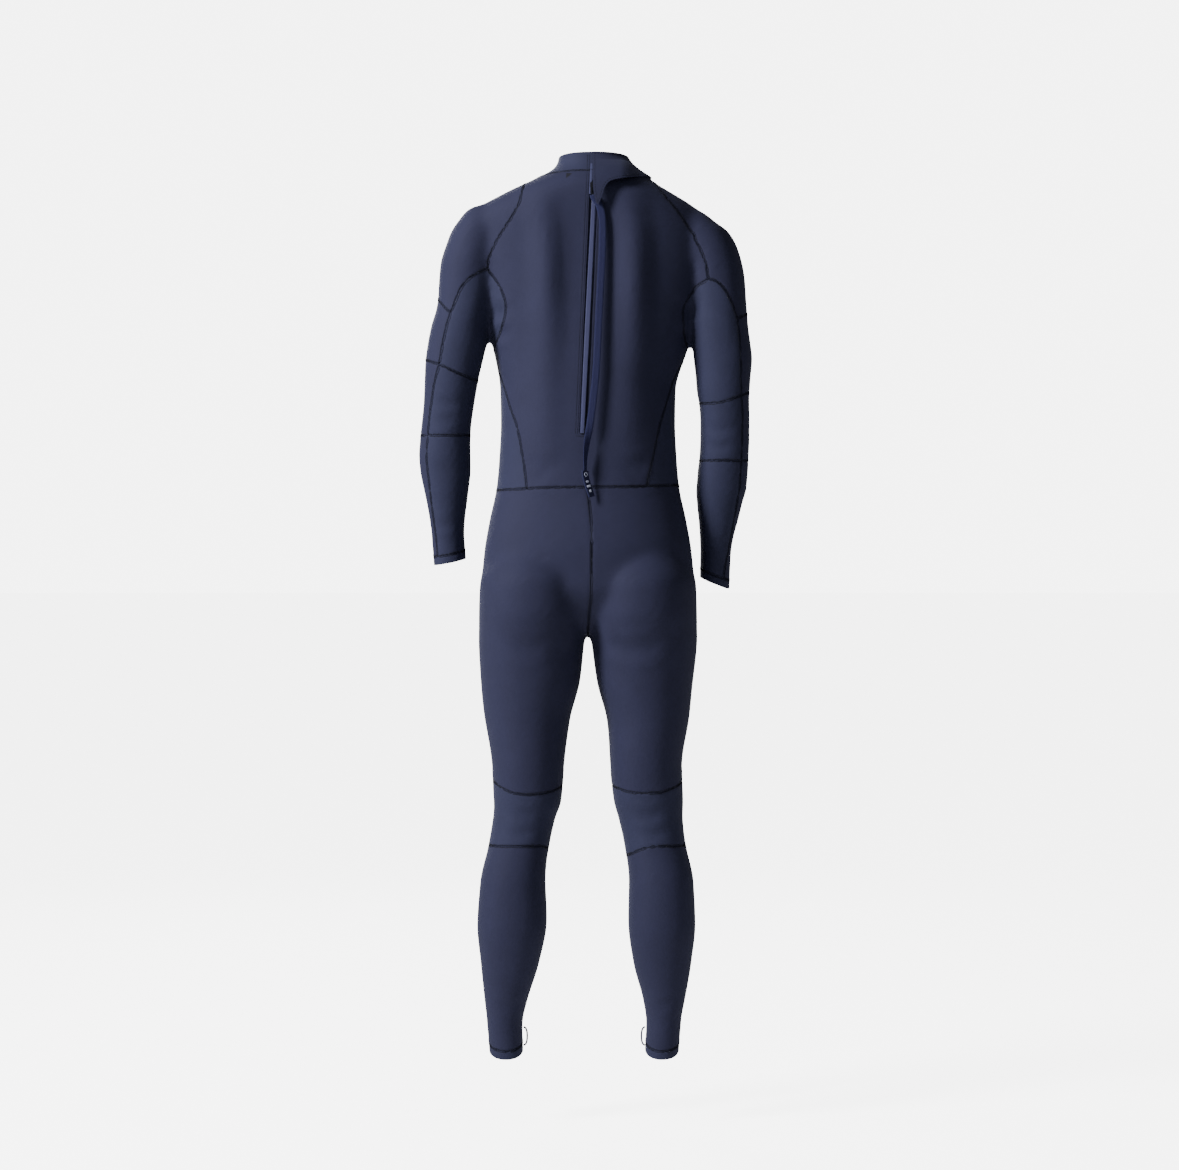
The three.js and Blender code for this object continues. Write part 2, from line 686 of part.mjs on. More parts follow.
const plateOuter = -plateLift - plateThickness;
const barY = plateOuter - barClearance - barRadius;
const roofY = barY - barRadius - barClearance;
const roofThickness = 1.4;
const bridgeHalf = 7;
const bridgeLeg = 2.4;

function sliderBody() {
  const halfLength = sliderLength / 2;
  const outline = new THREE.Shape();
  outline.moveTo(-sliderNarrow / 2, -halfLength);
  outline.lineTo(sliderNarrow / 2, -halfLength);
  outline.lineTo(sliderWide / 2, halfLength - 3);
  outline.quadraticCurveTo(sliderWide / 2, halfLength, 0, halfLength);
  outline.quadraticCurveTo(-sliderWide / 2, halfLength, -sliderWide / 2, halfLength - 3);
  const flangeAt = (x) => box(x - flangeThickness / 2, x + flangeThickness / 2,
    -plateLift - 0.2, neoprene - 0.7, -halfLength + 1, halfLength - 3);
  const legAt = (z) => box(-bridgeWidth / 2, bridgeWidth / 2, roofY - roofThickness, plateOuter + 0.2,
    z - bridgeLeg / 2, z + bridgeLeg / 2);
  return join([
    plate(outline, plateOuter, -plateLift),
    flangeAt(-flangeX),
    flangeAt(flangeX),
    legAt(bridgeHalf - bridgeLeg / 2),
    legAt(-bridgeHalf + bridgeLeg / 2),
    box(-bridgeWidth / 2, bridgeWidth / 2, roofY - roofThickness, roofY, -bridgeHalf, bridgeHalf),
  ]);
}
addMesh('slider_body', sliderBody(), zincPaint, pull);

const barZ = -1;
const eyeHalf = bridgeWidth / 2 + 0.9;
const eyeDepth = bridgeHalf + barZ + bridgeLeg;

function pullTab() {
  const bar = solidOf(new THREE.CylinderGeometry(barRadius, barRadius, tabWidth, 12)
    .rotateZ(Math.PI / 2).translate(0, barY, barZ));
  const outline = new THREE.Shape();
  const half = tabWidth / 2;
  outline.moveTo(-half, barZ);
  outline.lineTo(-half, barZ - tabLength + 3);
  outline.quadraticCurveTo(-half, barZ - tabLength, 0, barZ - tabLength);
  outline.quadraticCurveTo(half, barZ - tabLength, half, barZ - tabLength + 3);
  outline.lineTo(half, barZ);
  outline.closePath();
  const eye = box(-eyeHalf, eyeHalf, barY - 3, barY + 3, barZ - eyeDepth, barZ + 3);
  return plate(outline, barY - barRadius, barY + barRadius).subtract(eye).add(bar);
}
addMesh('pull_tab', pullTab(), zincPaint, pull);

// ---------------------------------------------------------------- leash

// middle line of the leash: from the pull tab, over the right back panel, then plumb
const leashGap = 0.5;
const tabFoot = new THREE.Vector3(0, barY, barZ - tabLength - leashGap)
  .applyQuaternion(pull.quaternion).add(pull.position);
const leashRoute = [
  [tabFoot.x, tabFoot.y, tabFoot.z],
  [tabFoot.x + 0.6, tabFoot.y - 0.4, tabFoot.z - 4],
  [14.5, -103.2, -80],
  [20, -103.6, -92],
  [23.4, -104, -112],
  [23.8, -104.4, -150],
  [21.5, -104.8, -200],
  [18.8, -104.8, -250],
  [16.4, -104.8, -300],
  [14, -104.8, -348],
  [9.5, -105, -395],
  [4, -105.6, -440],
  [-2, -106.4, -475],
  [-4.4, -107, -500],
  [-4.6, -107.4, -520],
].map((point) => new THREE.Vector3(...point));

// a flat band swept along a route, with its width turned by a given angle at each place
function band(route, width, thickness, turnAt, steps) {
  const curve = new THREE.CatmullRomCurve3(route);
  const rings = [];
  for (let i = 0; i <= steps; i++) {
    const along = curve.getTangentAt(i / steps);
    const turn = turnAt(i / steps);
    const wide = new THREE.Vector3(Math.cos(turn), Math.sin(turn), 0);
    const out = along.clone().cross(wide).normalize();
    wide.crossVectors(out, along).normalize();
    const middle = curve.getPointAt(i / steps);
    const edge = thickness * 0.3;
    const ring = [[1, -edge], [1, edge], [0.9, thickness / 2], [-0.9, thickness / 2], [-1, edge],
      [-1, -edge], [-0.9, -thickness / 2], [0.9, -thickness / 2]];
    rings.push(ring.map(([u, v]) => middle.clone().addScaledVector(wide, u * width / 2)
      .addScaledVector(out, v)));
  }
  return loft(rings);
}

const leashTwist = THREE.MathUtils.degToRad(70);
const twistFrom = 0.8;
addMesh('leash', band(leashRoute, leashWidth, leashThickness,
  (t) => leashTwist * THREE.MathUtils.smoothstep(t, twistFrom, 1), 34), webbing);

const endTabRoute = [
  [-4.6, -107.4, -520 - fit],
  [-4.6, -107.5, -526],
  [-1.6, -108, -540],
  [6, -108.6, -563],
].map((point) => new THREE.Vector3(...point));
const endTabWidth = 14;
const endTabThickness = 3.2;
addMesh('leash_end_tab', band(endTabRoute, endTabWidth, endTabThickness,
  () => leashTwist * 0.6, 6), labelPrint);

// ---------------------------------------------------------------- neck flap

// how far the flap stands off the collar: close on the right, lifted over the slider, with the
// change spread between two x positions and two levels
const liftAcross = [50, 88];
const liftDown = [-8, 34];
function lift(point) {
  const overZip = 1 - THREE.MathUtils.smoothstep(point.x / girth, ...liftAcross);
  const low = THREE.MathUtils.smoothstep(-point.z, ...liftDown);
  return fit + flapLift * overZip * low;
}
const flapOutline = [
  [8, -30], [8, 20], [8, 45], [9, 64], [12, 80], [15, 88], [19, 82], [24, 69], [28, 57], [37, 47],
  [54, 42], [77, 37], [100, 33.5], [140, 32], [140, -30],
];
const flapFrontY = -15;
const underRim = slab([0, 0, -0.5], 0, rimSlopeY, far);
const flapLayer = torsoLayer((point) => -lift(point) - flapThickness, flapThickness);
addMesh('neck_flap', flapLayer.intersect(prism(flapOutline, -far, flapFrontY)).intersect(underRim), jersey);

const patchThickness = 1;
const patchOutline = [[14, 11], [44, 11], [44, 24], [14, 24]];
const patchRegion = prism(patchOutline, -far, flapFrontY);
addMesh('flap_hook_patch',
  torsoLayer((point) => -lift(point) + fit, patchThickness).intersect(patchRegion), coilPlastic);
addMesh('collar_loop_patch',
  torsoLayer(-fit - patchThickness, patchThickness).intersect(patchRegion), coilPlastic);

const labelThickness = 0.5;
const labelOutline = [[-42, 6], [-14, 6], [-14, 22], [-42, 22]];
addMesh('size_label', torsoLayer(neoprene + fit, labelThickness)
  .intersect(prism(labelOutline, -far, flapFrontY)), labelPrint);

// ---------------------------------------------------------------- ankle pull loops

// a small cord loop on the inside of each ankle, to hold while pulling the leg on: the skin's x
// there, and the loop's points as distances from it and levels
const loopAnchor = { left: -109.1, right: 96.8 };
const loopLine = [[1.9, 1447], [5.6, 1450], [7.6, 1462], [5.6, 1475], [1.9, 1478]];
const loopY = -10;
const loopSides = 8;
const loopSection = new THREE.Shape(Array.from({ length: loopSides }, (_, i) => {
  const turn = 2 * Math.PI * i / loopSides;
  return new THREE.Vector2(Math.cos(turn), Math.sin(turn)).multiplyScalar(loopCord / 2);
}));
for (const [side, s] of Object.entries(sideOf)) {
  const path = new THREE.CatmullRomCurve3(loopLine.map(([out, level]) => new THREE.Vector3(
    (loopAnchor[side] - s * out) * girth, loopY * girth, drop(level))));
  const options = { steps: 8, bevelEnabled: false, extrudePath: path };
  addMesh(`${side}_ankle_pull_loop`, solidOf(new THREE.ExtrudeGeometry(loopSection, options)), webbing);
}

suit.position.x = -neckLean * girth;

export default suit;
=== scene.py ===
# %% [markdown]
# # A full wetsuit, filled out as worn
#
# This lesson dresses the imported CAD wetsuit. The order is: camera, leash (a cord), materials, the
# body surface, its cut into panels along the seams, stitching, zip, neck flap, small parts, light.
# Every panel of the CAD model gets one smooth, finely meshed piece that stands in its place.
#
# The row frame is in metres: +Z up, the wearer faces +Y, so the back and its zip face -Y.

import json
import math

import bmesh
import bpy
import numpy as np
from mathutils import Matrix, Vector
from mathutils.bvhtree import BVHTree


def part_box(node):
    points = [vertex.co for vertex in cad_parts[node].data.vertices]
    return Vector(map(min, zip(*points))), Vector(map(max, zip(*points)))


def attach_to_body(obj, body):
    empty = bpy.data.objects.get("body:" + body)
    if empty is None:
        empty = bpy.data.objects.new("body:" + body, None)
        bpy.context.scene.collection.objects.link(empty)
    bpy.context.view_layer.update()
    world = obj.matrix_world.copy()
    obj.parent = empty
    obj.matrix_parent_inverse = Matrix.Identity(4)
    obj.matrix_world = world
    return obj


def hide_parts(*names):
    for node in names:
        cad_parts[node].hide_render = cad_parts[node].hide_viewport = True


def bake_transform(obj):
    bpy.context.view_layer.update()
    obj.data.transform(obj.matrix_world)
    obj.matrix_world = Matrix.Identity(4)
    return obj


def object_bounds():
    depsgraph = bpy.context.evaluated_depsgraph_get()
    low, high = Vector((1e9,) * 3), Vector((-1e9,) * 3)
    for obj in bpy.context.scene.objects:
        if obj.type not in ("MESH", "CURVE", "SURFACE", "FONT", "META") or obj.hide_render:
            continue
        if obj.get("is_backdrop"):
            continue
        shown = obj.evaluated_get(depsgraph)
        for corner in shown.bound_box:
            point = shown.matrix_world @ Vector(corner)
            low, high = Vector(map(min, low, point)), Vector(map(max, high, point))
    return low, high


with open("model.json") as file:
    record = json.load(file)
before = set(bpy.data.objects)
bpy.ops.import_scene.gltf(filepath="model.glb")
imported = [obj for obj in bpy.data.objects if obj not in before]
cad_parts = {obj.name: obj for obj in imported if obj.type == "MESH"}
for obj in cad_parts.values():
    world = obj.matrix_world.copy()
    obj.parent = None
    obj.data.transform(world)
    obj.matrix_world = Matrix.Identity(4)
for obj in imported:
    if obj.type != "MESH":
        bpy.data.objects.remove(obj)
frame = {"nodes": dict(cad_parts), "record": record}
lowest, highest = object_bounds()
sizes = {"cad_lowest": list(lowest), "cad_highest": list(highest)}
MM = 0.001
nodes = frame["nodes"]
record = frame["record"]
joints = {joint["name"]: joint for joint in record["behaviour"]["joints"]}
mounts = {mount["name"]: mount for mount in record["mounts"]}

# %% [markdown]
# ## Camera
#
# The view is straight at the back from a little above waist height, five metres away, with a long
# lens. The suit hangs in the air as on a wearer who isn't there, so the floor is a heel's height
# below the ankle openings.

# %% The camera
FLOOR_Z = -1.609
VIEW_WIDTH = 1.968
DISTANCE = 5.1
SENSOR = 36.0

camera = bpy.data.objects.new("camera", bpy.data.cameras.new("camera"))
bpy.context.collection.objects.link(camera)
bpy.context.scene.camera = camera
camera.data.sensor_width = SENSOR
camera.data.lens = SENSOR * DISTANCE / VIEW_WIDTH
eye = Vector((-0.0055, -DISTANCE, FLOOR_Z + 1.0))
aim = Vector((-0.0055, 0.0, -0.709))
camera.location = eye
camera.rotation_mode = "QUATERNION"
camera.rotation_quaternion = (aim - eye).to_track_quat("-Z", "Y")
camera.data.dof.use_dof = False
print("camera at", [round(v, 3) for v in eye], "lens", round(camera.data.lens, 1), "mm")

# %% [markdown]
# ## Small helpers
#
# Most pieces here are sheets, bands and threads that follow a line. Curve objects with a bevel could
# make them, but a mesh shows its final points at once, so lines can be laid on the cloth and measured.
# `mesh_object` makes an object from points and faces.


# %% A mesh object
def mesh_object(name, points, faces):
    mesh = bpy.data.meshes.new(name)
    mesh.from_pydata([tuple(p) for p in points], [], [tuple(int(i) for i in f) for f in faces])
    mesh.validate()
    mesh.polygons.foreach_set("use_smooth", [True] * len(mesh.polygons))
    mesh.update()
    made = bpy.data.objects.new(name, mesh)
    bpy.context.collection.objects.link(made)
    return made


# %% Working with lines
def unit(vectors):
    vectors = np.asarray(vectors, float)
    length = np.linalg.norm(vectors, axis=-1, keepdims=True)
    return vectors / np.maximum(length, 1e-12)


def smoothstep(value, low, high):
    t = np.clip((value - low) / (high - low), 0, 1)
    return t * t * (3 - 2 * t)


def tangents(path):
    return unit(np.gradient(np.asarray(path, float), axis=0))


def resample(path, step):
    path = np.asarray(path, float)
    along = np.concatenate([[0], np.cumsum(np.linalg.norm(np.diff(path, axis=0), axis=1))])
    count = max(2, int(round(along[-1] / step)) + 1)
    places = np.linspace(0, along[-1], count)
    return np.stack([np.interp(places, along, path[:, k]) for k in range(path.shape[1])], axis=1)


# %% [markdown]
# A sweep joins a row of outlines into a closed skin. `swept_band` gives it the flat outline of
# webbing, with softened edges, and `swept_tube` the round one of a thread.


# %% Sweeps
def sweep(sections):
    """Points and faces of a skin over a list of rings with the same number of points."""
    rings = np.asarray(sections)
    rows, count = rings.shape[:2]
    points = rings.reshape(-1, 3)
    faces = []
    for r in range(rows - 1):
        for c in range(count):
            d = (c + 1) % count
            faces.append((r * count + c, r * count + d, (r + 1) * count + d, (r + 1) * count + c))
    faces.append(tuple(range(count - 1, -1, -1)))
    faces.append(tuple((rows - 1) * count + i for i in range(count)))
    return points, faces


def swept_band(path, across, width, thickness, corner=0.3):
    """Rings of a flat band with softened edges; across is its width direction at each point."""
    path = np.asarray(path, float)
    along = tangents(path)
    side = np.asarray(across, float)
    side = unit(side - along * np.sum(side * along, axis=1, keepdims=True))
    out = np.cross(along, side)
    half, high = width / 2, thickness / 2
    inner = 1 - corner * thickness / half
    outline = [(1, -0.3), (1, 0.3), (inner, 1), (0.5, 1), (0, 1), (-0.5, 1), (-inner, 1), (-1, 0.3),
               (-1, -0.3), (-inner, -1), (-0.5, -1), (0, -1), (0.5, -1), (inner, -1)]
    return [[p + s * (u * half) + o * (v * high) for u, v in outline] for p, s, o in zip(path, side, out)]


def swept_tube(path, radius, count=8):
    path = np.asarray(path, float)
    along = tangents(path)
    helper = np.array([0.0, 0.0, 1.0]) if abs(along[0][2]) < 0.9 else np.array([1.0, 0.0, 0.0])
    side = unit(np.cross(along[0], helper))
    rings = []
    for p, t in zip(path, along):
        side = unit(side - t * np.dot(side, t))
        up = np.cross(t, side)
        turns = np.arange(count) * 2 * math.pi / count
        rings.append([p + radius * (math.cos(a) * side + math.sin(a) * up) for a in turns])
    return rings


# %% [markdown]
# ## The leash
#
# The leash is a woven polyester band, 12 mm wide, that the wearer reaches over the shoulder to close
# the zip. A cloth simulation could hang it, but its route is known, so the band is swept along the
# CAD route: plumb from the pull tab, with a slow twist near its foot. It is a cord, and its stitched
# end tab is the fitting on it.

# %% The leash's route
LEAN_X = -8 * MM                # all tables are measured from a plumb line through the hips
LEASH_WIDTH = 12 * MM
LEASH_THICKNESS = 1.6 * MM
LEASH_TWIST = math.radians(70)
LEASH_POINTS = [
    (8.97, -101.32, -70.0), (9.56, -101.72, -74.0), (14.5, -103.2, -80), (20, -103.6, -92),
    (23.4, -104, -112), (23.8, -104.4, -150), (21.5, -104.8, -200), (18.8, -104.8, -250),
    (16.4, -104.8, -300), (14, -104.8, -348), (9.5, -105, -395), (4, -105.6, -440),
    (-2, -106.4, -475), (-4.4, -107, -500), (-4.6, -107.4, -520),
]


def catmull(points, per_span):
    """A smooth curve through every point, with some steps between two of them."""
    p = np.asarray(points, float)
    p = np.vstack([2 * p[0] - p[1], p, 2 * p[-1] - p[-2]])
    made = []
    for a, b, c, d in zip(p, p[1:], p[2:], p[3:]):
        for t in np.linspace(0, 1, per_span, endpoint=False):
            made.append(0.5 * ((2 * b) + (c - a) * t + (2 * a - 5 * b + 4 * c - d) * t ** 2
                               + (3 * b - a - 3 * c + d) * t ** 3))
    made.append(p[-2])
    return np.array(made)


leash_line = resample(catmull(np.array(LEASH_POINTS) * MM + [LEAN_X, 0, 0], 12), 2.5 * MM)
share = np.linspace(0, 1, len(leash_line))
turn = LEASH_TWIST * smoothstep(share, 0.8, 1.0)
leash_across = np.stack([np.cos(turn), np.sin(turn), np.zeros_like(turn)], axis=1)
leash_rings = swept_band(leash_line, leash_across, LEASH_WIDTH, LEASH_THICKNESS)
leash = mesh_object("leash_webbing", *sweep(leash_rings))

# %% [markdown]
# ## Materials
#
# Neoprene foam is laminated with knitted nylon jersey, so the suit is matt, with a faint sheen at
# grazing angles. Image textures could show the knit, but a pattern made of waves in object space has
# a size in millimetres and stays sharp. Each number that is the same all over sits on the shader.

# %% Material helpers
def linear(hex_colour):
    """sRGB hex to the linear colour that shader sockets take."""
    values = [int(hex_colour[i:i + 2], 16) / 255 for i in (1, 3, 5)]
    return [v / 12.92 if v <= 0.04045 else ((v + 0.055) / 1.055) ** 2.4 for v in values] + [1.0]


def new_material(name):
    material = bpy.data.materials.new(name)
    material.use_nodes = True
    tree = material.node_tree
    return material, tree, tree.nodes["Principled BSDF"]


def add_node(tree, kind, inputs=None, **settings):
    """Adds a node; inputs maps a socket's name or number to a constant or to another node's output."""
    node = tree.nodes.new(kind)
    for key, value in settings.items():
        setattr(node, key, value)
    for key, value in (inputs or {}).items():
        if isinstance(value, bpy.types.NodeSocket):
            tree.links.new(value, node.inputs[key])
        else:
            node.inputs[key].default_value = value
    return node


# %% [markdown]
# Real jersey has courses about 0.5 mm apart. They are drawn 0.9 mm apart, and the wales 0.8 mm, so
# that close views show them. Wide soft noise stands for dye that took unevenly.

# %% Knit
DYE_SPREAD = 0.18
KNIT_ROUGHNESS = 0.82
KNIT_SHEEN = 0.06


def knit(name, colour, course=0.9 * MM, wale=0.8 * MM, height=0.12 * MM):
    """Fine knit: rounded loops in courses with painted highlights on their tops; soft tone changes over a
    few centimetres.
    """
    material, tree, shader = new_material(name)
    place = add_node(tree, "ShaderNodeTexCoord").outputs["Object"]
    split = add_node(tree, "ShaderNodeSeparateXYZ", {0: place})
    across = add_node(tree, "ShaderNodeMath", {0: split.outputs[0], 1: split.outputs[1]}, operation="ADD")
    waves = []
    for run, pitch in ((split.outputs[2], course), (across.outputs[0], wale)):
        angle = add_node(tree, "ShaderNodeMath", {0: run, 1: 2 * math.pi / pitch}, operation="MULTIPLY")
        waves.append(add_node(tree, "ShaderNodeMath", {0: angle.outputs[0]}, operation="SINE").outputs[0])
    loops = add_node(tree, "ShaderNodeMath", {0: waves[1], 1: 0.5, 2: waves[0]},
                     operation="MULTIPLY_ADD").outputs[0]
    broad = add_node(tree, "ShaderNodeTexNoise",
                     {"Vector": place, "Scale": 26.0, "Detail": 5.0, "Roughness": 0.6})
    fine = add_node(tree, "ShaderNodeTexNoise", {"Vector": place, "Scale": 900.0, "Detail": 2.0})
    dark = [v * (1 - DYE_SPREAD) for v in linear(colour)[:3]] + [1.0]
    light = [min(1.0, v * (1 + DYE_SPREAD)) for v in linear(colour)[:3]] + [1.0]
    shade = add_node(tree, "ShaderNodeMix", {0: broad.outputs[0], 6: dark, 7: light}, data_type="RGBA")
    # the tops of the loops are painted a little paler: a painted highlight on the raised loops, painted
    # shade between them
    loop_top_highlight = add_node(tree, "ShaderNodeMath", {0: loops, 1: 0.16, 2: 0.24}, operation="MULTIPLY_ADD")
    dye_and_loop_highlight = add_node(tree, "ShaderNodeMix", {0: loop_top_highlight.outputs[0], 6: shade.outputs[2], 7: light},
                    data_type="RGBA")
    tree.links.new(dye_and_loop_highlight.outputs[2], shader.inputs["Base Color"])
    relief = add_node(tree, "ShaderNodeMath", {0: loops, 1: 0.5, 2: fine.outputs[0]},
                      operation="MULTIPLY_ADD")
    bump = add_node(tree, "ShaderNodeBump",
                    {"Height": relief.outputs[0], "Strength": 0.55, "Distance": height})
    tree.links.new(bump.outputs[0], shader.inputs["Normal"])
    shader.inputs["Roughness"].default_value = KNIT_ROUGHNESS
    shader.inputs["Sheen Weight"].default_value = KNIT_SHEEN
    shader.inputs["Sheen Roughness"].default_value = 0.45
    shader.inputs["Sheen Tint"].default_value = linear("#8f96b8")
    shader.inputs["Specular IOR Level"].default_value = 0.25
    return material


# %% [markdown]
# Moulded, cast and enamelled finishes have no pattern, only grain: fine noise moves their roughness
# a little up and down and gives a slight relief. Webbing and tape show the slanting ribs of a
# herringbone weave, with painted shade in the valleys between the ribs.

# %% Plain and woven finishes
def plain(name, colour, rough=0.5, metal=0.0, grain=400.0, height=0.02 * MM, specular=0.4):
    """A hard or rubbery finish with fine wear in its roughness and relief."""
    material, tree, shader = new_material(name)
    place = add_node(tree, "ShaderNodeTexCoord").outputs["Object"]
    noise = add_node(tree, "ShaderNodeTexNoise", {"Vector": place, "Scale": grain, "Detail": 4.0})
    low, high = max(0.05, rough - 0.12), min(1.0, rough + 0.12)
    span = add_node(tree, "ShaderNodeMapRange", {0: noise.outputs[0], 3: low, 4: high})
    tree.links.new(span.outputs[0], shader.inputs["Roughness"])
    bump = add_node(tree, "ShaderNodeBump",
                    {"Height": noise.outputs[0], "Strength": 0.5, "Distance": height})
    tree.links.new(bump.outputs[0], shader.inputs["Normal"])
    dark = [v * 0.85 for v in linear(colour)[:3]] + [1.0]
    shade = add_node(tree, "ShaderNodeMix", {0: noise.outputs[0], 6: dark, 7: linear(colour)},
                     data_type="RGBA")
    tree.links.new(shade.outputs[2], shader.inputs["Base Color"])
    shader.inputs["Metallic"].default_value = metal
    shader.inputs["Specular IOR Level"].default_value = specular
    return material


def woven(name, colour, pitch=1.1 * MM, height=0.18 * MM):
    """Webbing or tape: narrow diagonal ribs that change direction, as in a herringbone, with painted shade
    between them.
    """
    material, tree, shader = new_material(name)
    place = add_node(tree, "ShaderNodeTexCoord").outputs["Object"]
    split = add_node(tree, "ShaderNodeSeparateXYZ", {0: place})
    side = add_node(tree, "ShaderNodeMath", {0: split.outputs[0], 1: 2.0 * MM}, operation="PINGPONG")
    slant = add_node(tree, "ShaderNodeMath", {0: split.outputs[2], 1: side.outputs[0]}, operation="ADD")
    angle = add_node(tree, "ShaderNodeMath", {0: slant.outputs[0], 1: 2 * math.pi / pitch},
                     operation="MULTIPLY")
    ribs = add_node(tree, "ShaderNodeMath", {0: angle.outputs[0]}, operation="SINE").outputs[0]
    lifted = add_node(tree, "ShaderNodeMath", {0: ribs, 1: 0.5, 2: 0.5}, operation="MULTIPLY_ADD")
    # the valleys between the ribs are painted darker: painted shade
    rib_valley_shade = [v * 0.55 for v in linear(colour)[:3]] + [1.0]
    shade = add_node(tree, "ShaderNodeMix", {0: lifted.outputs[0], 6: rib_valley_shade, 7: linear(colour)},
                     data_type="RGBA")
    tree.links.new(shade.outputs[2], shader.inputs["Base Color"])
    bump = add_node(tree, "ShaderNodeBump", {"Height": ribs, "Strength": 0.6, "Distance": height})
    tree.links.new(bump.outputs[0], shader.inputs["Normal"])
    shader.inputs["Roughness"].default_value = 0.8
    shader.inputs["Specular IOR Level"].default_value = 0.3
    return material


# %% The materials
# nylon jersey, knitted and dyed: matt navy with a faint bloom
JERSEY = knit("navy_nylon_jersey_knit", "#22233b")
# stretch jersey with elastane: finer, and a little lighter where it is pulled
STRETCH = knit("navy_stretch_jersey_knit", "#25273f", course=0.8 * MM, wale=0.7 * MM)
# brushed plush: coarse and soft, almost black
LINING = knit("charcoal_plush_lining", "#17181f", course=1.6 * MM, wale=1.4 * MM, height=0.3 * MM)
# neoprene with its moulded skin left bare: dull and smooth
RUBBER = plain("smooth_skin_neoprene", "#191a26", rough=0.6, grain=300.0, height=0.05 * MM)
# twisted nylon thread: dark lines that catch light on each turn, with painted shade between the turns
STITCH = woven("flatlock_thread_navy", "#191b2c", pitch=2.4 * MM, height=0.35 * MM)
# woven polyester: strong blue with ribs
WEBBING = woven("polyester_webbing_navy", "#1c1f4a")
TAPE_CLOTH = woven("zip_tape_cloth", "#20233a", pitch=0.8 * MM, height=0.08 * MM)
# warp-knitted tricot, painted paler than the jersey: a painted highlight along the folded edge
FOLD_CLOTH_PAINTED_HIGHLIGHT = knit("zip_fold_painted_highlight", "#3b3d5c", course=0.5 * MM, wale=0.5 * MM)
# extruded acetal: small clean highlights on each turn
COIL = plain("acetal_zip_coil", "#11121a", rough=0.4, grain=900.0)
# die-cast zinc under dark enamel: a soft metallic gleam
ZINC = plain("dark_enamelled_zinc", "#1c1d26", rough=0.35, metal=0.55, grain=700.0)
# nylon hooks and loops: a black pile without gloss
HOOK = plain("hook_tape_pile", "#0f1016", rough=0.95, grain=1800.0, height=0.5 * MM)
# jacquard-woven tab with pale printed marks
TAB = woven("woven_end_tab_navy", "#1d2048", pitch=0.9 * MM, height=0.1 * MM)
PALE = plain("pale_print", "#b9bfd8", rough=0.7, grain=600.0)


def paint(obj, *materials):
    obj.data.materials.clear()
    for material in materials:
        obj.data.materials.append(material)


print("materials:", len(bpy.data.materials))

# %% [markdown]
# ## The body surface
#
# Worn neoprene lies tight on the body, so the suit is one stretched surface with soft changes. It
# could be sculpted or simulated on a figure. Lofts are more exact: torso, two arms and two legs are
# drawn through the CAD rows, so the surface and the CAD panels agree. Each row holds the level below
# the neck opening, middle x, half width, then front and back depth and shoulder blade (torso) or
# middle y and half depth (limbs), in millimetres.

# %% Rows of the lofts
TORSO = [
    [-40, 8, 55, 52, 58, 0], [0, 8, 57, 56, 60, 0], [12, 9, 62, 57, 63, 0], [22, 11, 74, 59, 72, 0],
    [32, 9, 91, 64, 83, 0], [42, 5, 107, 70, 92, 0], [54, 1, 131, 78, 96.5, 1], [64, 0, 150, 85, 97.2, 3],
    [80, -2, 178, 94, 97.2, 5], [95, -2, 194, 101, 97.1, 7], [120, 2, 203, 109, 97, 10],
    [160, 4, 203, 116, 96.6, 13], [200, 5, 195, 119, 96.2, 14], [250, 5, 182, 121, 95.7, 12],
    [318, 4, 161.5, 118.5, 95, 8], [385, 0, 146.5, 112, 94.3, 5], [440, 0, 145.5, 108, 93.7, 4],
    [495, 0, 148, 106, 93.2, 2], [546, 0, 152.5, 106, 97, 0], [600, 0, 164, 106, 108, 0],
    [654, 0, 173, 103, 118, 0], [707, 0, 177, 98, 118, 0], [740, 0, 160, 88, 104, 0],
    [765, 0, 118, 66, 80, 0], [785, 0, 46, 30, 46, 0],
]
LEFT_ARM = [
    [80, -176, 16, -12, 26], [90, -178, 27, -12, 38], [105, -180, 36, -12, 47], [120, -184, 43, -11, 53],
    [144, -189, 47, -10, 57], [171, -196, 49, -9, 59], [200, -199, 49, -9, 58], [225, -201, 48, -9, 57],
    [251, -206, 46.5, -9, 56], [278, -213, 47.5, -10, 55], [305, -217, 49, -10, 54],
    [332, -222, 48, -10, 52], [359, -226, 45.5, -10, 49], [385, -229, 43.5, -9, 46],
    [412, -232, 42, -7, 43], [439, -235.5, 41.5, -4, 43], [466, -238, 42, 0, 44], [493, -239, 43, 3, 44],
    [520, -238, 42, 7, 42], [546, -237, 38, 10, 40], [573, -236, 33.5, 14, 37], [600, -235.5, 29.5, 18, 34],
    [627, -234.6, 27.3, 22, 32], [665, -232, 27.3, 27, 31], [700, -230, 27.3, 31, 31],
]
RIGHT_ARM = [
    [86, 168, 16, -12, 26], [95, 172, 27, -12, 38], [108, 178, 36, -12, 47], [120, 186, 46, -11, 53],
    [144, 197, 50, -10, 57], [171, 205, 51, -9, 59], [198, 211, 50, -9, 58], [225, 214, 49, -9, 57],
    [251, 216, 48.5, -9, 56], [278, 218, 48.5, -10, 55], [305, 221, 49, -10, 54],
    [332, 224.5, 48.6, -10, 52], [359, 225, 46, -10, 50], [385, 225, 44, -10, 48],
    [412, 227, 41.5, -9, 46], [439, 228, 41, -7, 44], [466, 228, 41, -4, 43], [493, 227, 41, 0, 44],
    [520, 225, 42, 4, 44], [546, 223, 42, 8, 43], [573, 220, 38, 12, 41], [600, 218, 33.5, 16, 38],
    [627, 215.5, 28.8, 20, 35], [654, 214, 26, 24, 32], [705, 212.5, 25.3, 30, 31],
    [740, 211.5, 25.3, 34, 31],
]
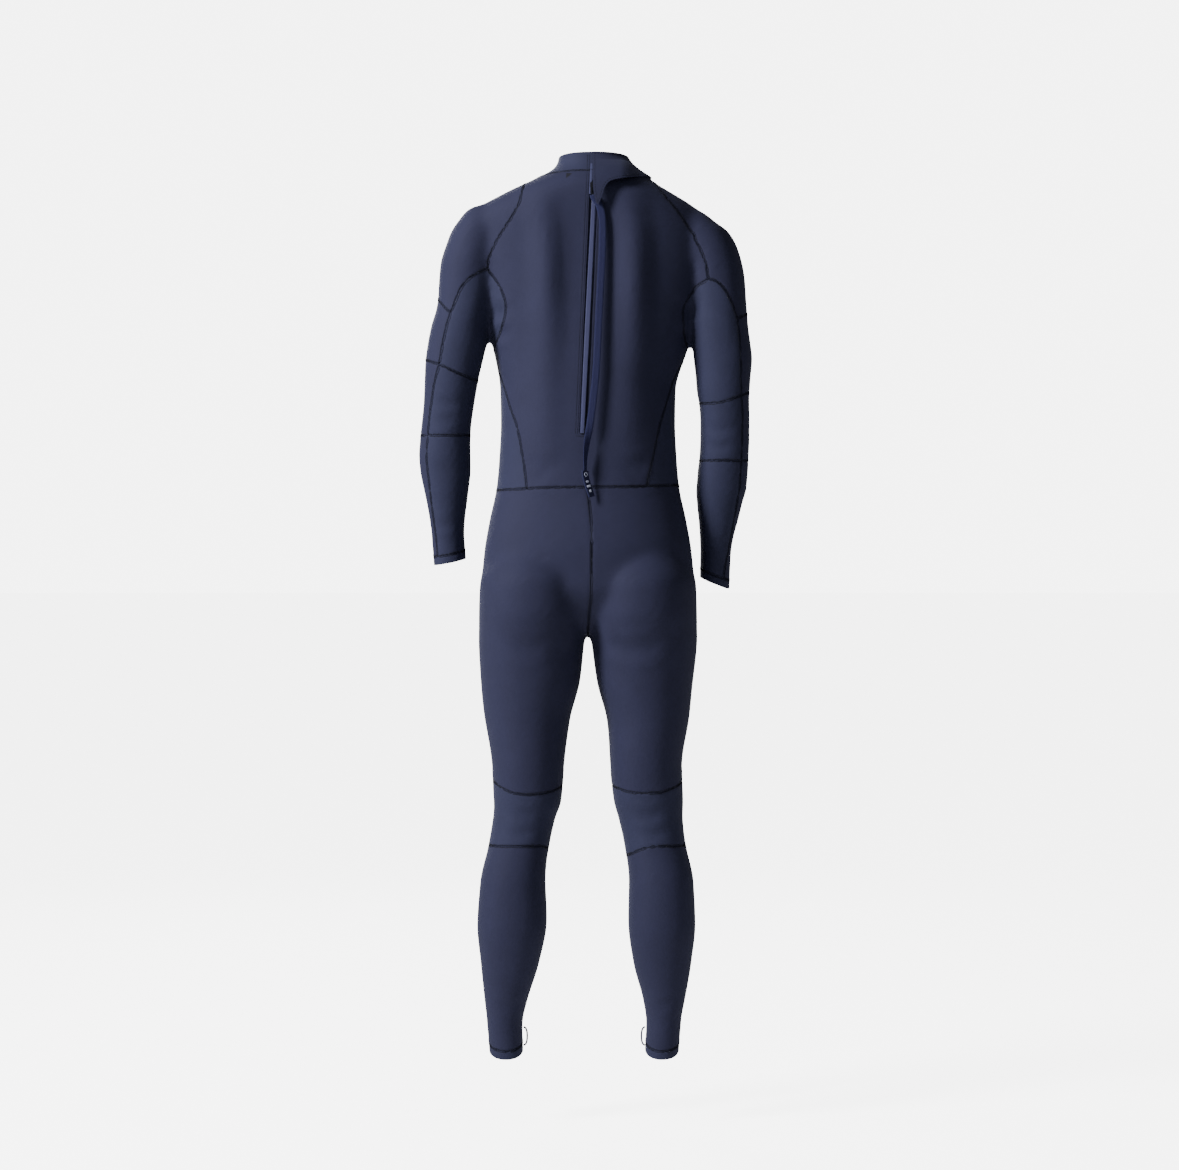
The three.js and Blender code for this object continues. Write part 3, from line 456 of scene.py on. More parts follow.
LEFT_LEG = [
    [655, -86, 74, -14, 92], [707, -90, 90, -20, 113], [750, -91, 90.5, -18, 113],
    [785, -92.5, 89.5, -13, 106], [801, -94, 88.5, -11, 103], [868, -96, 83, -4, 95],
    [935, -101, 71, 0, 87], [1002, -100, 61, -2, 77], [1069, -101, 56, -4, 64], [1100, -107, 51.5, -6, 59],
    [1136, -114, 50.5, -10, 57], [1203, -125, 54.5, -19, 61], [1270, -126.5, 58, -21, 60],
    [1337, -130, 49, -17, 51], [1404, -137, 35.5, -10, 42], [1438, -139, 30, -7, 39],
    [1480, -137, 28.5, -6, 38], [1530, -134.5, 28.5, -6, 38],
]
RIGHT_LEG = [
    [655, 86, 74, -14, 92], [707, 90, 90, -20, 113], [750, 91, 90.5, -18, 113],
    [785, 92.5, 89.5, -13, 106], [801, 94, 88.5, -11, 103], [868, 95, 80.5, -4, 95],
    [935, 100, 68.5, 0, 87], [1002, 97, 60.5, -2, 77], [1069, 101, 57.5, -4, 64], [1100, 105, 53, -6, 59],
    [1136, 111, 51, -10, 57], [1203, 122, 54, -19, 61], [1270, 123, 56, -21, 60],
    [1337, 124, 48.6, -17, 51], [1404, 127, 34.5, -10, 42], [1438, 126.5, 29.3, -7, 39],
    [1480, 124, 28.5, -6, 38], [1530, 121.5, 28.5, -6, 38],
]


# %% [markdown]
# Between two rows each value runs on a curve that never overshoots, so no ripple appears. A row
# becomes an oval: a circle's shape at fullness 2, and nearer to a rounded box above that.

# %% From rows to closed lofts
def smooth_rows(table, step):
    """Rows every few millimetres, on curves whose slopes never overshoot the table."""
    t = np.array(table, float)
    x, y = t[:, 0], t[:, 1:]
    gap = np.diff(x)[:, None]
    slope = np.diff(y, axis=0) / gap
    same = slope[1:] * slope[:-1] > 0
    middle = np.where(same, 2 * slope[1:] * slope[:-1] / np.where(same, slope[1:] + slope[:-1], 1), 0)
    rate = np.vstack([slope[:1], middle, slope[-1:]])
    places = np.linspace(x[0], x[-1], int(round((x[-1] - x[0]) / step)) + 1)
    k = np.clip(np.searchsorted(x, places, side="right") - 1, 0, len(x) - 2)
    h = (x[k + 1] - x[k])[:, None]
    s = ((places - x[k]) / (x[k + 1] - x[k]))[:, None]
    values = ((1 + 2 * s) * (1 - s) ** 2 * y[k] + s * (1 - s) ** 2 * h * rate[k]
              + s * s * (3 - 2 * s) * y[k + 1] + s * s * (s - 1) * h * rate[k + 1])
    return np.hstack([places[:, None], values])


def oval(level, x, half, front, back, blade, count, fullness):
    turn = -2 * math.pi * (np.arange(count) + 0.5) / count
    power = 2 / fullness
    across = np.sign(np.cos(turn)) * np.abs(np.cos(turn)) ** power
    depth = np.sign(np.sin(turn)) * np.abs(np.sin(turn)) ** power
    offset = np.minimum(np.abs(np.abs(half * across) - 74) / 42, 1)
    swell = np.where(depth < 0, blade * np.cos(offset * math.pi / 2) ** 2 * -depth, 0)
    y = (front - back) / 2 + (front + back) / 2 * depth - swell
    return np.stack([x + half * across, y, np.full(count, -level)], axis=1) * MM + [LEAN_X, 0, 0]


def body_loft(name, table, fullness):
    rows = smooth_rows(table, 6)
    if rows.shape[1] == 5:
        rows = np.stack([rows[:, 0], rows[:, 1], rows[:, 2], rows[:, 3] + rows[:, 4],
                         rows[:, 4] - rows[:, 3], np.zeros(len(rows))], axis=1)
    return mesh_object(name, *sweep([oval(*row, 96, fullness) for row in rows]))


TORSO_FULLNESS, LIMB_FULLNESS = 2.35, 2.15
lofts = [body_loft("loft_torso", TORSO, TORSO_FULLNESS)]
for name, table in (("left_arm", LEFT_ARM), ("right_arm", RIGHT_ARM), ("left_leg", LEFT_LEG),
                    ("right_leg", RIGHT_LEG)):
    lofts.append(body_loft("loft_" + name, table, LIMB_FULLNESS))
print("lofts:", [loft.name for loft in lofts])


# %% [markdown]
# The five lofts overlap at shoulders and crotch. A Boolean would leave sharp lines there. A voxel
# remesh gives one even skin instead, which smoothing can then round.

# %% One skin
def baked(obj):
    """Applies an object's modifiers and returns its points and triangles, then removes it."""
    graph = bpy.context.evaluated_depsgraph_get()
    mesh = bpy.data.meshes.new_from_object(obj.evaluated_get(graph), depsgraph=graph)
    points = np.empty(len(mesh.vertices) * 3)
    mesh.vertices.foreach_get("co", points)
    mesh.calc_loop_triangles()
    triangles = np.empty(len(mesh.loop_triangles) * 3, dtype=int)
    mesh.loop_triangles.foreach_get("vertices", triangles)
    bpy.data.objects.remove(obj)
    return points.reshape(-1, 3), triangles.reshape(-1, 3)


VOXEL = 4.5 * MM
whole = lofts[0]
merged = bmesh.new()
for loft in lofts:
    merged.from_mesh(loft.data)
bmesh.ops.recalc_face_normals(merged, faces=merged.faces)
merged.to_mesh(whole.data)
merged.free()
for loft in lofts[1:]:
    bpy.data.objects.remove(loft)
remesh = whole.modifiers.new("remesh", "REMESH")
remesh.mode = "VOXEL"
remesh.voxel_size = VOXEL
skin, skin_faces = baked(whole)
print("surface:", len(skin), "points,", len(skin_faces), "triangles")


# %% [markdown]
# Plain smoothing would shrink the limbs. Each pass therefore shrinks and then swells again. The
# shoulders and the seat, where lofts meet at a slant, get further passes of their own.

# %% Rounding the joins
def smoothed(points, faces, passes, weight=None, keep=0.53):
    """Shrink-and-swell smoothing, which rounds creases without losing volume."""
    sides = np.vstack([faces[:, [0, 1]], faces[:, [1, 2]], faces[:, [2, 0]]])
    edges = np.unique(np.sort(sides, axis=1), axis=0)
    degree = np.bincount(edges.ravel(), minlength=len(points))[:, None]
    amount = 1.0 if weight is None else weight[:, None]
    for step in range(passes * 2):
        total = np.zeros_like(points)
        np.add.at(total, edges[:, 0], points[edges[:, 1]])
        np.add.at(total, edges[:, 1], points[edges[:, 0]])
        factor = 0.5 if step % 2 == 0 else -keep
        points = points + factor * amount * (total / np.maximum(degree, 1) - points)
    return points


def vertex_normals(points, faces):
    cross = np.cross(points[faces[:, 1]] - points[faces[:, 0]], points[faces[:, 2]] - points[faces[:, 0]])
    made = np.zeros_like(points)
    for k in range(3):
        np.add.at(made, faces[:, k], cross)
    return unit(made)


skin = smoothed(skin, skin_faces, 8)
across, level = np.abs(skin[:, 0]), skin[:, 2]
shoulders = smoothstep(across, 0.105, 0.135) * smoothstep(level, -0.27, -0.235)
seat = smoothstep(level, -0.88, -0.80) * (1 - smoothstep(level, -0.61, -0.55)) * (across < 0.195)
skin = smoothed(skin, skin_faces, 36, np.maximum(shoulders, seat), keep=0.36)
volume = np.sum(np.einsum("ij,ij->i", skin[skin_faces[:, 0]],
                          np.cross(skin[skin_faces[:, 1]], skin[skin_faces[:, 2]]))) / 6
if volume < 0:
    skin_faces = skin_faces[:, ::-1]
print("volume", round(abs(volume), 4), "m3")

# %% [markdown]
# ## Creases
#
# Neoprene buckles softly where the wearer bends: across the back of each knee, inside the elbows,
# at the armpits, in the small of the back and under the seat. A cloth simulation would be hard to
# steer, so each crease is a shallow groove along a short line, with a swelling beside it.

# %% Shallow creases
CREASES = [
    # two ends (x, z in mm), side (-1 back, 1 front), depth and spread in mm
    ((-168, -246), (-128, -262), -1, 2.6, 11), ((-164, -285), (-122, -292), -1, 2.0, 10),
    ((190, -250), (146, -268), -1, 2.6, 11), ((186, -300), (138, -302), -1, 1.8, 10),
    ((-262, -398), (-205, -412), -1, 1.6, 9), ((-264, -424), (-208, -430), -1, 1.4, 9),
    ((190, -440), (250, -452), -1, 1.6, 9), ((190, -470), (248, -474), -1, 1.3, 9),
    ((-140, -1078), (-70, -1086), -1, 2.0, 10), ((-146, -1112), (-76, -1106), -1, 1.8, 10),
    ((62, -1084), (140, -1078), -1, 2.0, 10), ((66, -1108), (142, -1114), -1, 1.8, 10),
    ((-120, -500), (-40, -512), -1, 1.5, 12), ((40, -510), (116, -498), -1, 1.5, 12),
    ((-118, -530), (-52, -522), -1, 1.2, 10), ((52, -524), (122, -534), -1, 1.2, 10),
    ((-150, -792), (-40, -806), -1, 2.2, 14), ((30, -806), (146, -790), -1, 2.2, 14),
    ((-90, -836), (-20, -800), -1, 1.4, 12), ((84, -838), (16, -800), -1, 1.4, 12),
    ((-160, -1398), (-104, -1404), -1, 1.3, 9), ((98, -1404), (152, -1396), -1, 1.3, 9),
    ((-262, -600), (-214, -606), -1, 1.1, 8), ((196, -640), (240, -632), -1, 1.1, 8),
    ((-140, -1085), (-66, -1092), 1, 1.4, 10), ((60, -1092), (136, -1085), 1, 1.4, 10),
    ((-60, -470), (60, -474), 1, 1.6, 14), ((-80, -520), (70, -526), 1, 1.4, 14),
    ((-120, -770), (-40, -800), 1, 1.8, 14), ((40, -800), (118, -770), 1, 1.8, 14),
]


def crease_depth(points, normals):
    """How far each point moves outwards, in metres."""
    moved = np.zeros(len(points))
    for (x0, z0), (x1, z1), side, depth, spread in CREASES:
        start = np.array([x0, z0]) * MM + [LEAN_X, 0]
        end = np.array([x1, z1]) * MM + [LEAN_X, 0]
        line = end - start
        length = np.linalg.norm(line)
        along = (points[:, [0, 2]] - start) @ line / length ** 2
        bend = 0.12 * length * np.sin(math.pi * np.clip(along, 0, 1))
        square = np.array([-line[1], line[0]]) / length
        away = (points[:, [0, 2]] - start) @ square + bend
        reach = np.clip(1.25 - np.abs(along - 0.5) * 2, 0, 1)
        facing = np.clip(side * normals[:, 1] * 1.6 + 0.1, 0, 1)
        near = away / (spread * MM)
        groove, swelling = np.exp(-near ** 2), np.exp(-((np.abs(near) - 1.9) / 0.8) ** 2)
        moved += depth * MM * (0.45 * swelling - groove) * reach ** 2 * facing
    return moved


normals = vertex_normals(skin, skin_faces)
skin = skin + normals * crease_depth(skin, normals)[:, None]
print("creases:", len(CREASES))

# %% [markdown]
# ## Cutting the surface into panels
#
# A wetsuit is sewn from flat panels. A copy of each CAD panel would be faceted, and a material mask
# would leave one piece. Here the smooth skin itself is cut: each point belongs to the CAD panel
# nearest to it, and past the zip, the neck and the four cuffs the skin is thrown away.

# %% Where the zip is
ZIP_TOP = np.array([2.0, -46.0]) * MM   # x and z of its upper end
ZIP_TURN = math.radians(2.5)
ZIP_DOWN = np.array([-math.sin(ZIP_TURN), -math.cos(ZIP_TURN)])
ZIP_SIDE = np.array([math.cos(ZIP_TURN), -math.sin(ZIP_TURN)])
ZIP_LENGTH = 415 * MM
SLOT_HALF = 6.5 * MM


def zip_place(points):
    """How far points are to the side of the zip's middle and down from its upper end."""
    flat = points[:, [0, 2]] - ZIP_TOP
    return flat @ ZIP_SIDE, flat @ ZIP_DOWN


print("zip:", round(ZIP_LENGTH, 3), "m long, leaning", round(math.degrees(ZIP_TURN), 1), "degrees")


# %% Distances to the CAD panels
SHELL = [
    "collar_panel", "back_panel", "front_panel",
    *[side + part for side in ("left", "right") for part in (
        "_shoulder_panel", "_underarm_panel", "_outer_sleeve_panel", "_elbow_inner_panel",
        "_elbow_outer_panel", "_forearm_inner_panel", "_forearm_outer_panel", "_wrist_hem",
        "_side_panel", "_thigh_panel", "_knee_back_panel", "_knee_pad", "_calf_panel", "_ankle_hem")],
]
OPEN = len(SHELL)               # the label for surface past the openings
GAP_LEFT, GAP_RIGHT = -0.197, 0.1765    # x between hip and forearm, on each side
GAP_RIGHT_HIGH = 0.170          # the same above the hip, where the right forearm comes closer


def tree_of(name):
    mesh = nodes[name].data
    mesh.calc_loop_triangles()
    corners = [t.vertices[:] for t in mesh.loop_triangles]
    return BVHTree.FromPolygons([v.co for v in mesh.vertices], corners)


def on_forearm(points):
    """The forearms hang close to the hips, so this tells which side of the gap a point is on."""
    right = np.where(points[:, 2] > -0.65, GAP_RIGHT_HIGH, GAP_RIGHT)
    return (points[:, 0] < GAP_LEFT) | (points[:, 0] > right)


def panel_distances(points):
    """Distance from every point to every panel, and to the openings (large where it can't matter)."""
    made = np.full((len(points), len(SHELL) + 1), 9.0)
    reach = 0.03
    for k, name in enumerate(SHELL):
        low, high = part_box(name)
        inside = np.all((points > np.array(low) - reach) & (points < np.array(high) + reach), axis=1)
        side = -1 if name.startswith("left") else 1 if name.startswith("right") else 0
        arm = "forearm" in name or "wrist" in name or "elbow" in name
        inside &= (on_forearm(points) == arm) | (points[:, 2] > -0.55)
        if side:
            inside &= points[:, 0] * side > -0.05
        tree = tree_of(name)
        for i in np.nonzero(inside)[0]:
            made[i, k] = tree.find_nearest(points[i])[3]
    return made


def open_distance(points):
    """Distance to where the surface ends: 0 past an opening's plane."""
    made = np.full(len(points), 9.0)
    neck = np.array([0.0, -0.095, -1.0])
    planes = [(np.zeros(3), -unit(neck), points[:, 2] > -0.08)]
    for side in ("left", "right"):
        for limb in ("wrist", "ankle"):
            mount = mounts[f"{side}_{limb}_rim"]
            x = points[:, 0]
            if limb == "wrist":
                region = (x < GAP_LEFT) if side == "left" else (x > GAP_RIGHT)
            else:
                region = (x < 0) if side == "left" else (x > 0)
            region &= points[:, 2] < (-0.6 if limb == "wrist" else -1.38)
            region &= np.abs(points[:, 2] - mount["pos_m"][2]) < 0.12
            planes.append((np.array(mount["pos_m"]), np.array(mount["axis"]), region))
    for point, outward, region in planes:
        beyond = (points - point) @ outward
        made = np.where(region, np.minimum(made, np.maximum(-beyond, 0)), made)
    across, along = zip_place(points)
    slot = np.maximum(np.abs(across) - SLOT_HALF, np.maximum(-along, along - ZIP_LENGTH))
    return np.where(points[:, 1] < 0, np.minimum(made, np.maximum(slot, 0)), made)


distances = panel_distances(skin)
distances[:, OPEN] = open_distance(skin)
label = np.argmin(distances, axis=1)
# the panels sit up to 1.5 mm inside the smooth surface, so what is past an opening wins outright
label[distances[:, OPEN] <= 0] = OPEN
print("points per panel:", {n: int(np.sum(label == k)) for k, n in enumerate(SHELL)})


# %% [markdown]
# Where an edge of the mesh joins two panels, the seam crosses it at the place that is equally near
# to both. Triangles are split there, so that every seam is a smooth line and not a staircase.

# %% Splitting triangles at the seams
def split_at_seams(points, faces, label, distances):
    """Points, triangles and labels after the cut, and the seam segments between pairs of labels."""
    new_points = [tuple(p) for p in points]
    crossing, made, made_label, segments = {}, [], [], {}

    def cross(p, q):
        key = (p, q) if p < q else (q, p)
        if key not in crossing:
            p, q = key
            a, b = label[p], label[q]
            near, beyond = distances[p, b] - distances[p, a], distances[q, a] - distances[q, b]
            t = min(max(near / max(near + beyond, 1e-9), 0.02), 0.98)
            crossing[key] = len(new_points)
            new_points.append(tuple(points[p] * (1 - t) + points[q] * t))
        return crossing[key]

    def add(corner_list, owner):
        for second, third in zip(corner_list[1:], corner_list[2:]):
            made.append((corner_list[0], second, third))
            made_label.append(owner)

    def segment(p, q, a, b):
        segments.setdefault((min(a, b), max(a, b)), []).append((p, q))

    for face in faces.tolist():
        la, lb, lc = label[face[0]], label[face[1]], label[face[2]]
        if la == lb == lc:
            add(face, la)
            continue
        kinds = len({la, lb, lc})
        if kinds == 2:
            lone = 0 if lb == lc else 1 if la == lc else 2
            p, q, r = face[lone], face[(lone + 1) % 3], face[(lone + 2) % 3]
            one, other = cross(p, q), cross(p, r)
            add([p, one, other], label[p])
            add([one, q, r, other], label[q])
            segment(one, other, label[p], label[q])
            continue
        ends = [cross(face[k], face[(k + 1) % 3]) for k in range(3)]
        middle = len(new_points)
        new_points.append(tuple(np.mean([new_points[e] for e in ends], axis=0)))
        for k in range(3):
            add([face[k], ends[k], middle, ends[k - 1]], label[face[k]])
            segment(ends[k], middle, label[face[k]], label[face[(k + 1) % 3]])
    return np.array(new_points), np.array(made), np.array(made_label), segments


skin, skin_faces, face_label, segments = split_at_seams(skin, skin_faces, label, distances)
kept = face_label != OPEN
normals = vertex_normals(skin, skin_faces)
print("after the cut:", int(kept.sum()), "triangles,", len(segments), "seams")

# %% [markdown]
# ## Chains of seam points
#
# Sewn seams are smooth lines that lie a little lower than the cloth. The segments of each seam are
# joined into lines, evened out and pressed in. The panels' own edges follow the same lines, so
# stitching and edge stay together.


# %% Joining segments
def chains(pairs):
    links = {}
    for p, q in pairs:
        links.setdefault(p, []).append(q)
        links.setdefault(q, []).append(p)
    used, made = set(), []
    starts = [p for p in links if len(links[p]) != 2] + list(links)
    for start in starts:
        for after in links[start]:
            if (start, after) in used:
                continue
            line = [start, after]
            used.update([(start, after), (after, start)])
            while len(links[line[-1]]) == 2 and line[-1] != start:
                ahead = [q for q in links[line[-1]] if (line[-1], q) not in used]
                if not ahead:
                    break
                used.update([(line[-1], ahead[0]), (ahead[0], line[-1])])
                line.append(ahead[0])
            if len(line) > 3:
                made.append(line)
    return made


seam_chains = []
for (a, b), pairs in segments.items():
    for line in chains(pairs):
        for _ in range(6):
            middle = (skin[line[:-2]] + skin[line[2:]]) / 2
            skin[line[1:-1]] += 0.5 * (middle - skin[line[1:-1]])
        seam_chains.append((a, b, line))
SEAM_GROOVE = 0.7 * MM
for a, b, line in seam_chains:
    if b != OPEN:
        skin[line] -= normals[line] * SEAM_GROOVE
steps = [np.linalg.norm(np.diff(skin[line], axis=0), axis=1).sum() for _, _, line in seam_chains]
print("seam lines:", len(seam_chains), "of", round(float(sum(steps)), 2), "m in all")

# %% [markdown]
# ## Panels with thickness
#
# Wetsuit neoprene is 3 mm foam, jersey outside and plush inside. A Solidify modifier would do, but
# building both faces keeps the seams of neighbours together and gives each face its own cloth.
#
# Pieces near an elbow or knee ride the suit or the limb's lower part, by where they lie against the
# joint's stretch, which is the same for every piece there. A piece that crosses it keeps its place.

# %% Where limbs bend
BEND = {}
for side in ("left", "right"):
    for limb, body, reach in (("elbow", "forearm", 0.058), ("knee", "shin", 0.076)):
        middle = Vector(joints[f"{side}_{limb}_bend"]["pos_m"])
        BEND[f"{side}_{body}"] = (middle + Vector((0, 0, reach)), middle - Vector((0, 0, reach)))


def attach(obj, limb):
    """Rides on the suit or a limb's lower part; a piece that reaches into the joint's stretch keeps its
    place.
    """
    if limb is None:
        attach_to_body(obj, "suit")
        return
    heights = [v.co.z for v in obj.data.vertices]
    start, end = BEND[limb]
    if min(heights) > start.z:
        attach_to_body(obj, "suit")
    elif max(heights) < end.z:
        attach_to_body(obj, limb)
    else:
        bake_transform(obj)


def limb_of(name):
    """The lower limb that a panel may have to follow."""
    side = name.split("_")[0]
    if any(part in name for part in ("underarm", "sleeve", "elbow", "forearm", "wrist", "shoulder")):
        return f"{side}_forearm"
    if any(part in name for part in ("thigh", "knee", "calf", "ankle")):
        return f"{side}_shin"
    return None


print("bends:", {body: round(start.z - end.z, 3) for body, (start, end) in BEND.items()})


# %% Panels
THICKNESS = 3 * MM


def thick_shell(name, points, normals, faces, thickness, outer, inner):
    """A closed sheet: outer face, inner face and edge; the edge takes the outer material."""
    used, local = np.unique(faces, return_inverse=True)
    local = local.reshape(-1, 3)
    top, under = points[used], points[used] - normals[used] * thickness
    directed = np.vstack([local[:, [0, 1]], local[:, [1, 2]], local[:, [2, 0]]])
    present = {tuple(e) for e in directed.tolist()}
    rim = [(a, b) for a, b in present if (b, a) not in present]
    count = len(used)
    edge_faces = [(b, a, a + count, b + count) for a, b in rim]
    all_faces = [*local.tolist(), *(local[:, ::-1] + count).tolist(), *edge_faces]
    made = mesh_object(name, np.vstack([top, under]), all_faces)
    paint(made, outer, inner)
    slots = [0] * len(local) + [1] * len(local) + [0] * len(edge_faces)
    made.data.polygons.foreach_set("material_index", slots)
    sharp = made.data.attributes.new("sharp_edge", "BOOLEAN", "EDGE")
    rim_keys = {tuple(sorted(e)) for e in rim}
    rim_keys |= {tuple(sorted((a + count, b + count))) for a, b in rim}
    sharp.data.foreach_set("value", [tuple(sorted(e.vertices)) in rim_keys for e in made.data.edges])
    return made


slot_of = {part["node"]: part["material_slot"] for part in record["subparts"]}
outer_look = {"jersey": JERSEY, "stretch_jersey": STRETCH, "smooth_neoprene": RUBBER}
for k, name in enumerate(SHELL):
    piece = thick_shell(f"{name}_cloth", skin, normals, skin_faces[face_label == k], THICKNESS,
                        outer_look[slot_of[name]], LINING)
    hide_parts(name)
    attach(piece, limb_of(name))
print("panels:", len(SHELL))

# %% [markdown]
# ## Flatlock stitching
#
# A flatlock seam shows two needle lines beside the joint with a zigzag cover thread between them,
# about 5 mm wide in all. A bump could hint at it, but threads with real thickness also show at the
# silhouette, so each is a thin tube that lies on the panels.


# %% Laying points on the cloth
def tree_of_triangles(points, faces):
    return BVHTree.FromPolygons([tuple(p) for p in points], [tuple(f) for f in faces.tolist()])


surface = tree_of_triangles(skin, skin_faces[kept])


def on_surface(points, lift):
    made = []
    for p in points:
        place, normal = surface.find_nearest(Vector(p))[:2]
        made.append(np.array(place + normal * lift))
    return np.array(made)


def surface_normals(points):
    return np.array([surface.find_nearest(Vector(p))[1][:] for p in points])


# %% Threads along the seams
HALF_STITCH = 2.3 * MM
HALF_ZIGZAG = 1.3 * MM
NEEDLE_RADIUS = 0.42 * MM
COVER_RADIUS = 0.3 * MM


def stitch(line):
    """Tubes for one seam: two needle lines and the cover zigzag."""
    path = resample(line, HALF_ZIGZAG)
    if len(path) < 8:
        return []
    side = unit(np.cross(surface_normals(path), tangents(path)))
    side = unit(side + np.roll(side, 1, axis=0) + np.roll(side, -1, axis=0))
    turn = np.where(np.arange(len(path)) % 2 == 0, 1.0, -1.0)[:, None]
    tubes = [swept_tube(on_surface(path + side * turn * HALF_STITCH, 0.2 * MM), COVER_RADIUS, 4)]
    for s in (-1, 1):
        needle = on_surface(path[::3] + side[::3] * s * HALF_STITCH, 0.15 * MM)
        tubes.append(swept_tube(needle, NEEDLE_RADIUS, 5))
    return tubes


def tubes_object(name, tubes, material):
    points, faces = [], []
    for rings in tubes:
        some, these = sweep(rings)
        faces.extend(tuple(i + len(points) for i in f) for f in these)
        points.extend(some)
    made = mesh_object(name, points, faces)
    paint(made, material)
    return made


threads = {}
for a, b, line in seam_chains:
    if b == OPEN:
        continue
    one, other = SHELL[a], SHELL[b]
    limbs = {limb_of(one), limb_of(other)}
    torso_seam = len(limbs) > 1 or None in limbs
    group = "torso" if torso_seam else limbs.pop()
    threads.setdefault(group, []).extend(stitch(skin[line]))
for group, tubes in threads.items():
    stitching = tubes_object(f"{group}_flatlock_stitching", tubes, STITCH)
    attach(stitching, None if group == "torso" else group)
print("stitch groups:", sorted(threads))


# %% [markdown]
# ## The zip
#
# The back zip has plastic coils on two woven tapes, and it leans 2.5 degrees. A strip with a folded
# edge covers its left half, so that only the right coil shows, in the shadow beside the fold. Flat
# strips could be modelled in place, but these take their depth from the back itself, so that they
# follow its curve.

# %% Places on the zip
whole_surface = tree_of_triangles(skin, skin_faces)


def back_point(x, z, depth):
    """A point of the back at x and z, at a depth below the suit's outer face."""
    place, normal = whole_surface.ray_cast(Vector((x, -0.4, z)), Vector((0, 1, 0)), 0.8)[:2]
    return np.array(place - normal * depth)


def zip_point(across, along, depth):
    x, z = ZIP_TOP + ZIP_SIDE * across + ZIP_DOWN * along
    middle_x, middle_z = ZIP_TOP + ZIP_DOWN * along
    edges = [back_point(middle_x + s * 0.016, middle_z, 0)[1] for s in (-1, 1)]
    return np.array([x, sum(edges) / 2 + depth, z])


def zip_layer(name, across_range, along_range, depth, thickness, steps, outer, inner, edge_drop=0.0):
    """A thin closed strip that lies along the zip."""
    along = np.linspace(*along_range, max(2, int(abs(along_range[1] - along_range[0]) / 0.005)))
    rows = []
    for a in along:
        for share_across in np.linspace(0, 1, steps):
            if callable(across_range):
                across, down = across_range(share_across, a)
            else:
                across = across_range[0] + (across_range[1] - across_range[0]) * share_across
                down = edge_drop * abs(2 * share_across - 1) ** 4
            rows.append(zip_point(across, a, depth + down))
    points = np.array(rows)
    faces = []
    for r in range(len(along) - 1):
        for c in range(steps - 1):
            k = r * steps + c
            faces += [(k, k + steps, k + 1), (k + 1, k + steps, k + steps + 1)]
    faces = np.array(faces)
    facing = vertex_normals(points, faces)
    if facing[:, 1].mean() > 0:
        faces, facing = faces[:, ::-1], -facing
    return thick_shell(name, points, facing, faces, thickness, outer, inner)


# %% Tapes
for side, s in (("left", -1), ("right", 1)):
    edges = sorted((s * 0.15 * MM, s * 21 * MM))
    tape = zip_layer(f"{side}_zip_tape_cloth", edges, (-3 * MM, ZIP_LENGTH + 8 * MM), 3.3 * MM, 0.8 * MM, 8,
                     TAPE_CLOTH, TAPE_CLOTH)
    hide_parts(f"{side}_zip_tape")
    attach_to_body(tape, "suit")


# %% Cover fold and collar binding
def fold_place(share_across, along):
    """The fold drifts from right to left of the zip's middle on its way down."""
    across = (2.0 - 4.5 * along / ZIP_LENGTH) * MM + (share_across - 0.5) * 8.4 * MM
    low = smoothstep(np.abs(across), 3.6 * MM, 4.1 * MM)
    roll = abs(2 * share_across - 1) ** 8
    return across, (0.2 + 0.85 * low + 0.5 * roll) * MM


# the fold's cloth is painted pale, a painted highlight along its folded edge
fold = zip_layer("zip_cover_fold", fold_place, (22 * MM, ZIP_LENGTH - 2 * MM), 0.0, 0.7 * MM, 15,
                 FOLD_CLOTH_PAINTED_HIGHLIGHT, TAPE_CLOTH)
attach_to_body(fold, "suit")
# the binding's outer face takes the same pale cloth, painted as a highlight
binding = zip_layer("collar_edge_binding", (-7.4 * MM, -2.9 * MM), (-49 * MM, 22 * MM), -0.7 * MM,
                    1.2 * MM, 9, FOLD_CLOTH_PAINTED_HIGHLIGHT, TAPE_CLOTH, edge_drop=0.7 * MM)
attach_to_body(binding, "suit")
print("fold:", len(fold.data.polygons), "faces, binding:", len(binding.data.polygons), "faces")

# %% Rows of stitches beside the zip
zip_rows = []
for across in (-9.2, -12.6, 9.4):
    top = -46 * MM if across < 0 else 6 * MM
    row = [zip_point(across * MM, a, 0) for a in np.arange(top, ZIP_LENGTH + 3 * MM, 3.2 * MM)]
    row = on_surface(row, 0.12 * MM)
    for before, after in zip(row, row[1:]):
        zip_rows.append(swept_tube([before, before * 0.25 + after * 0.75], 0.34 * MM, 4))
foot_row = [zip_point(c * MM, ZIP_LENGTH + 3 * MM, 0) for c in np.arange(-12.6, 9.5, 2.2)]
zip_rows.append(swept_tube(on_surface(foot_row, 0.15 * MM), 0.4 * MM, 4))
zip_stitching = tubes_object("zip_stitching", zip_rows, STITCH)
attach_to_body(zip_stitching, "suit")
print("stitches beside the zip:", len(zip_rows))

# %% The guard panel behind the zip
GUARD_HALF = 46 * MM
guard = zip_layer("zip_guard_neoprene", (-GUARD_HALF, GUARD_HALF), (-12 * MM, ZIP_LENGTH + 18 * MM),
                  4.4 * MM, 2 * MM, 24, RUBBER, LINING)
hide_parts("zip_guard_panel")
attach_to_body(guard, "suit")

# %% [markdown]
# Each coil is one plastic thread wound flat, and its turns interlock with those of the other coil. A
# row of copied teeth would look like a moulded zip, so one tube runs through all turns.

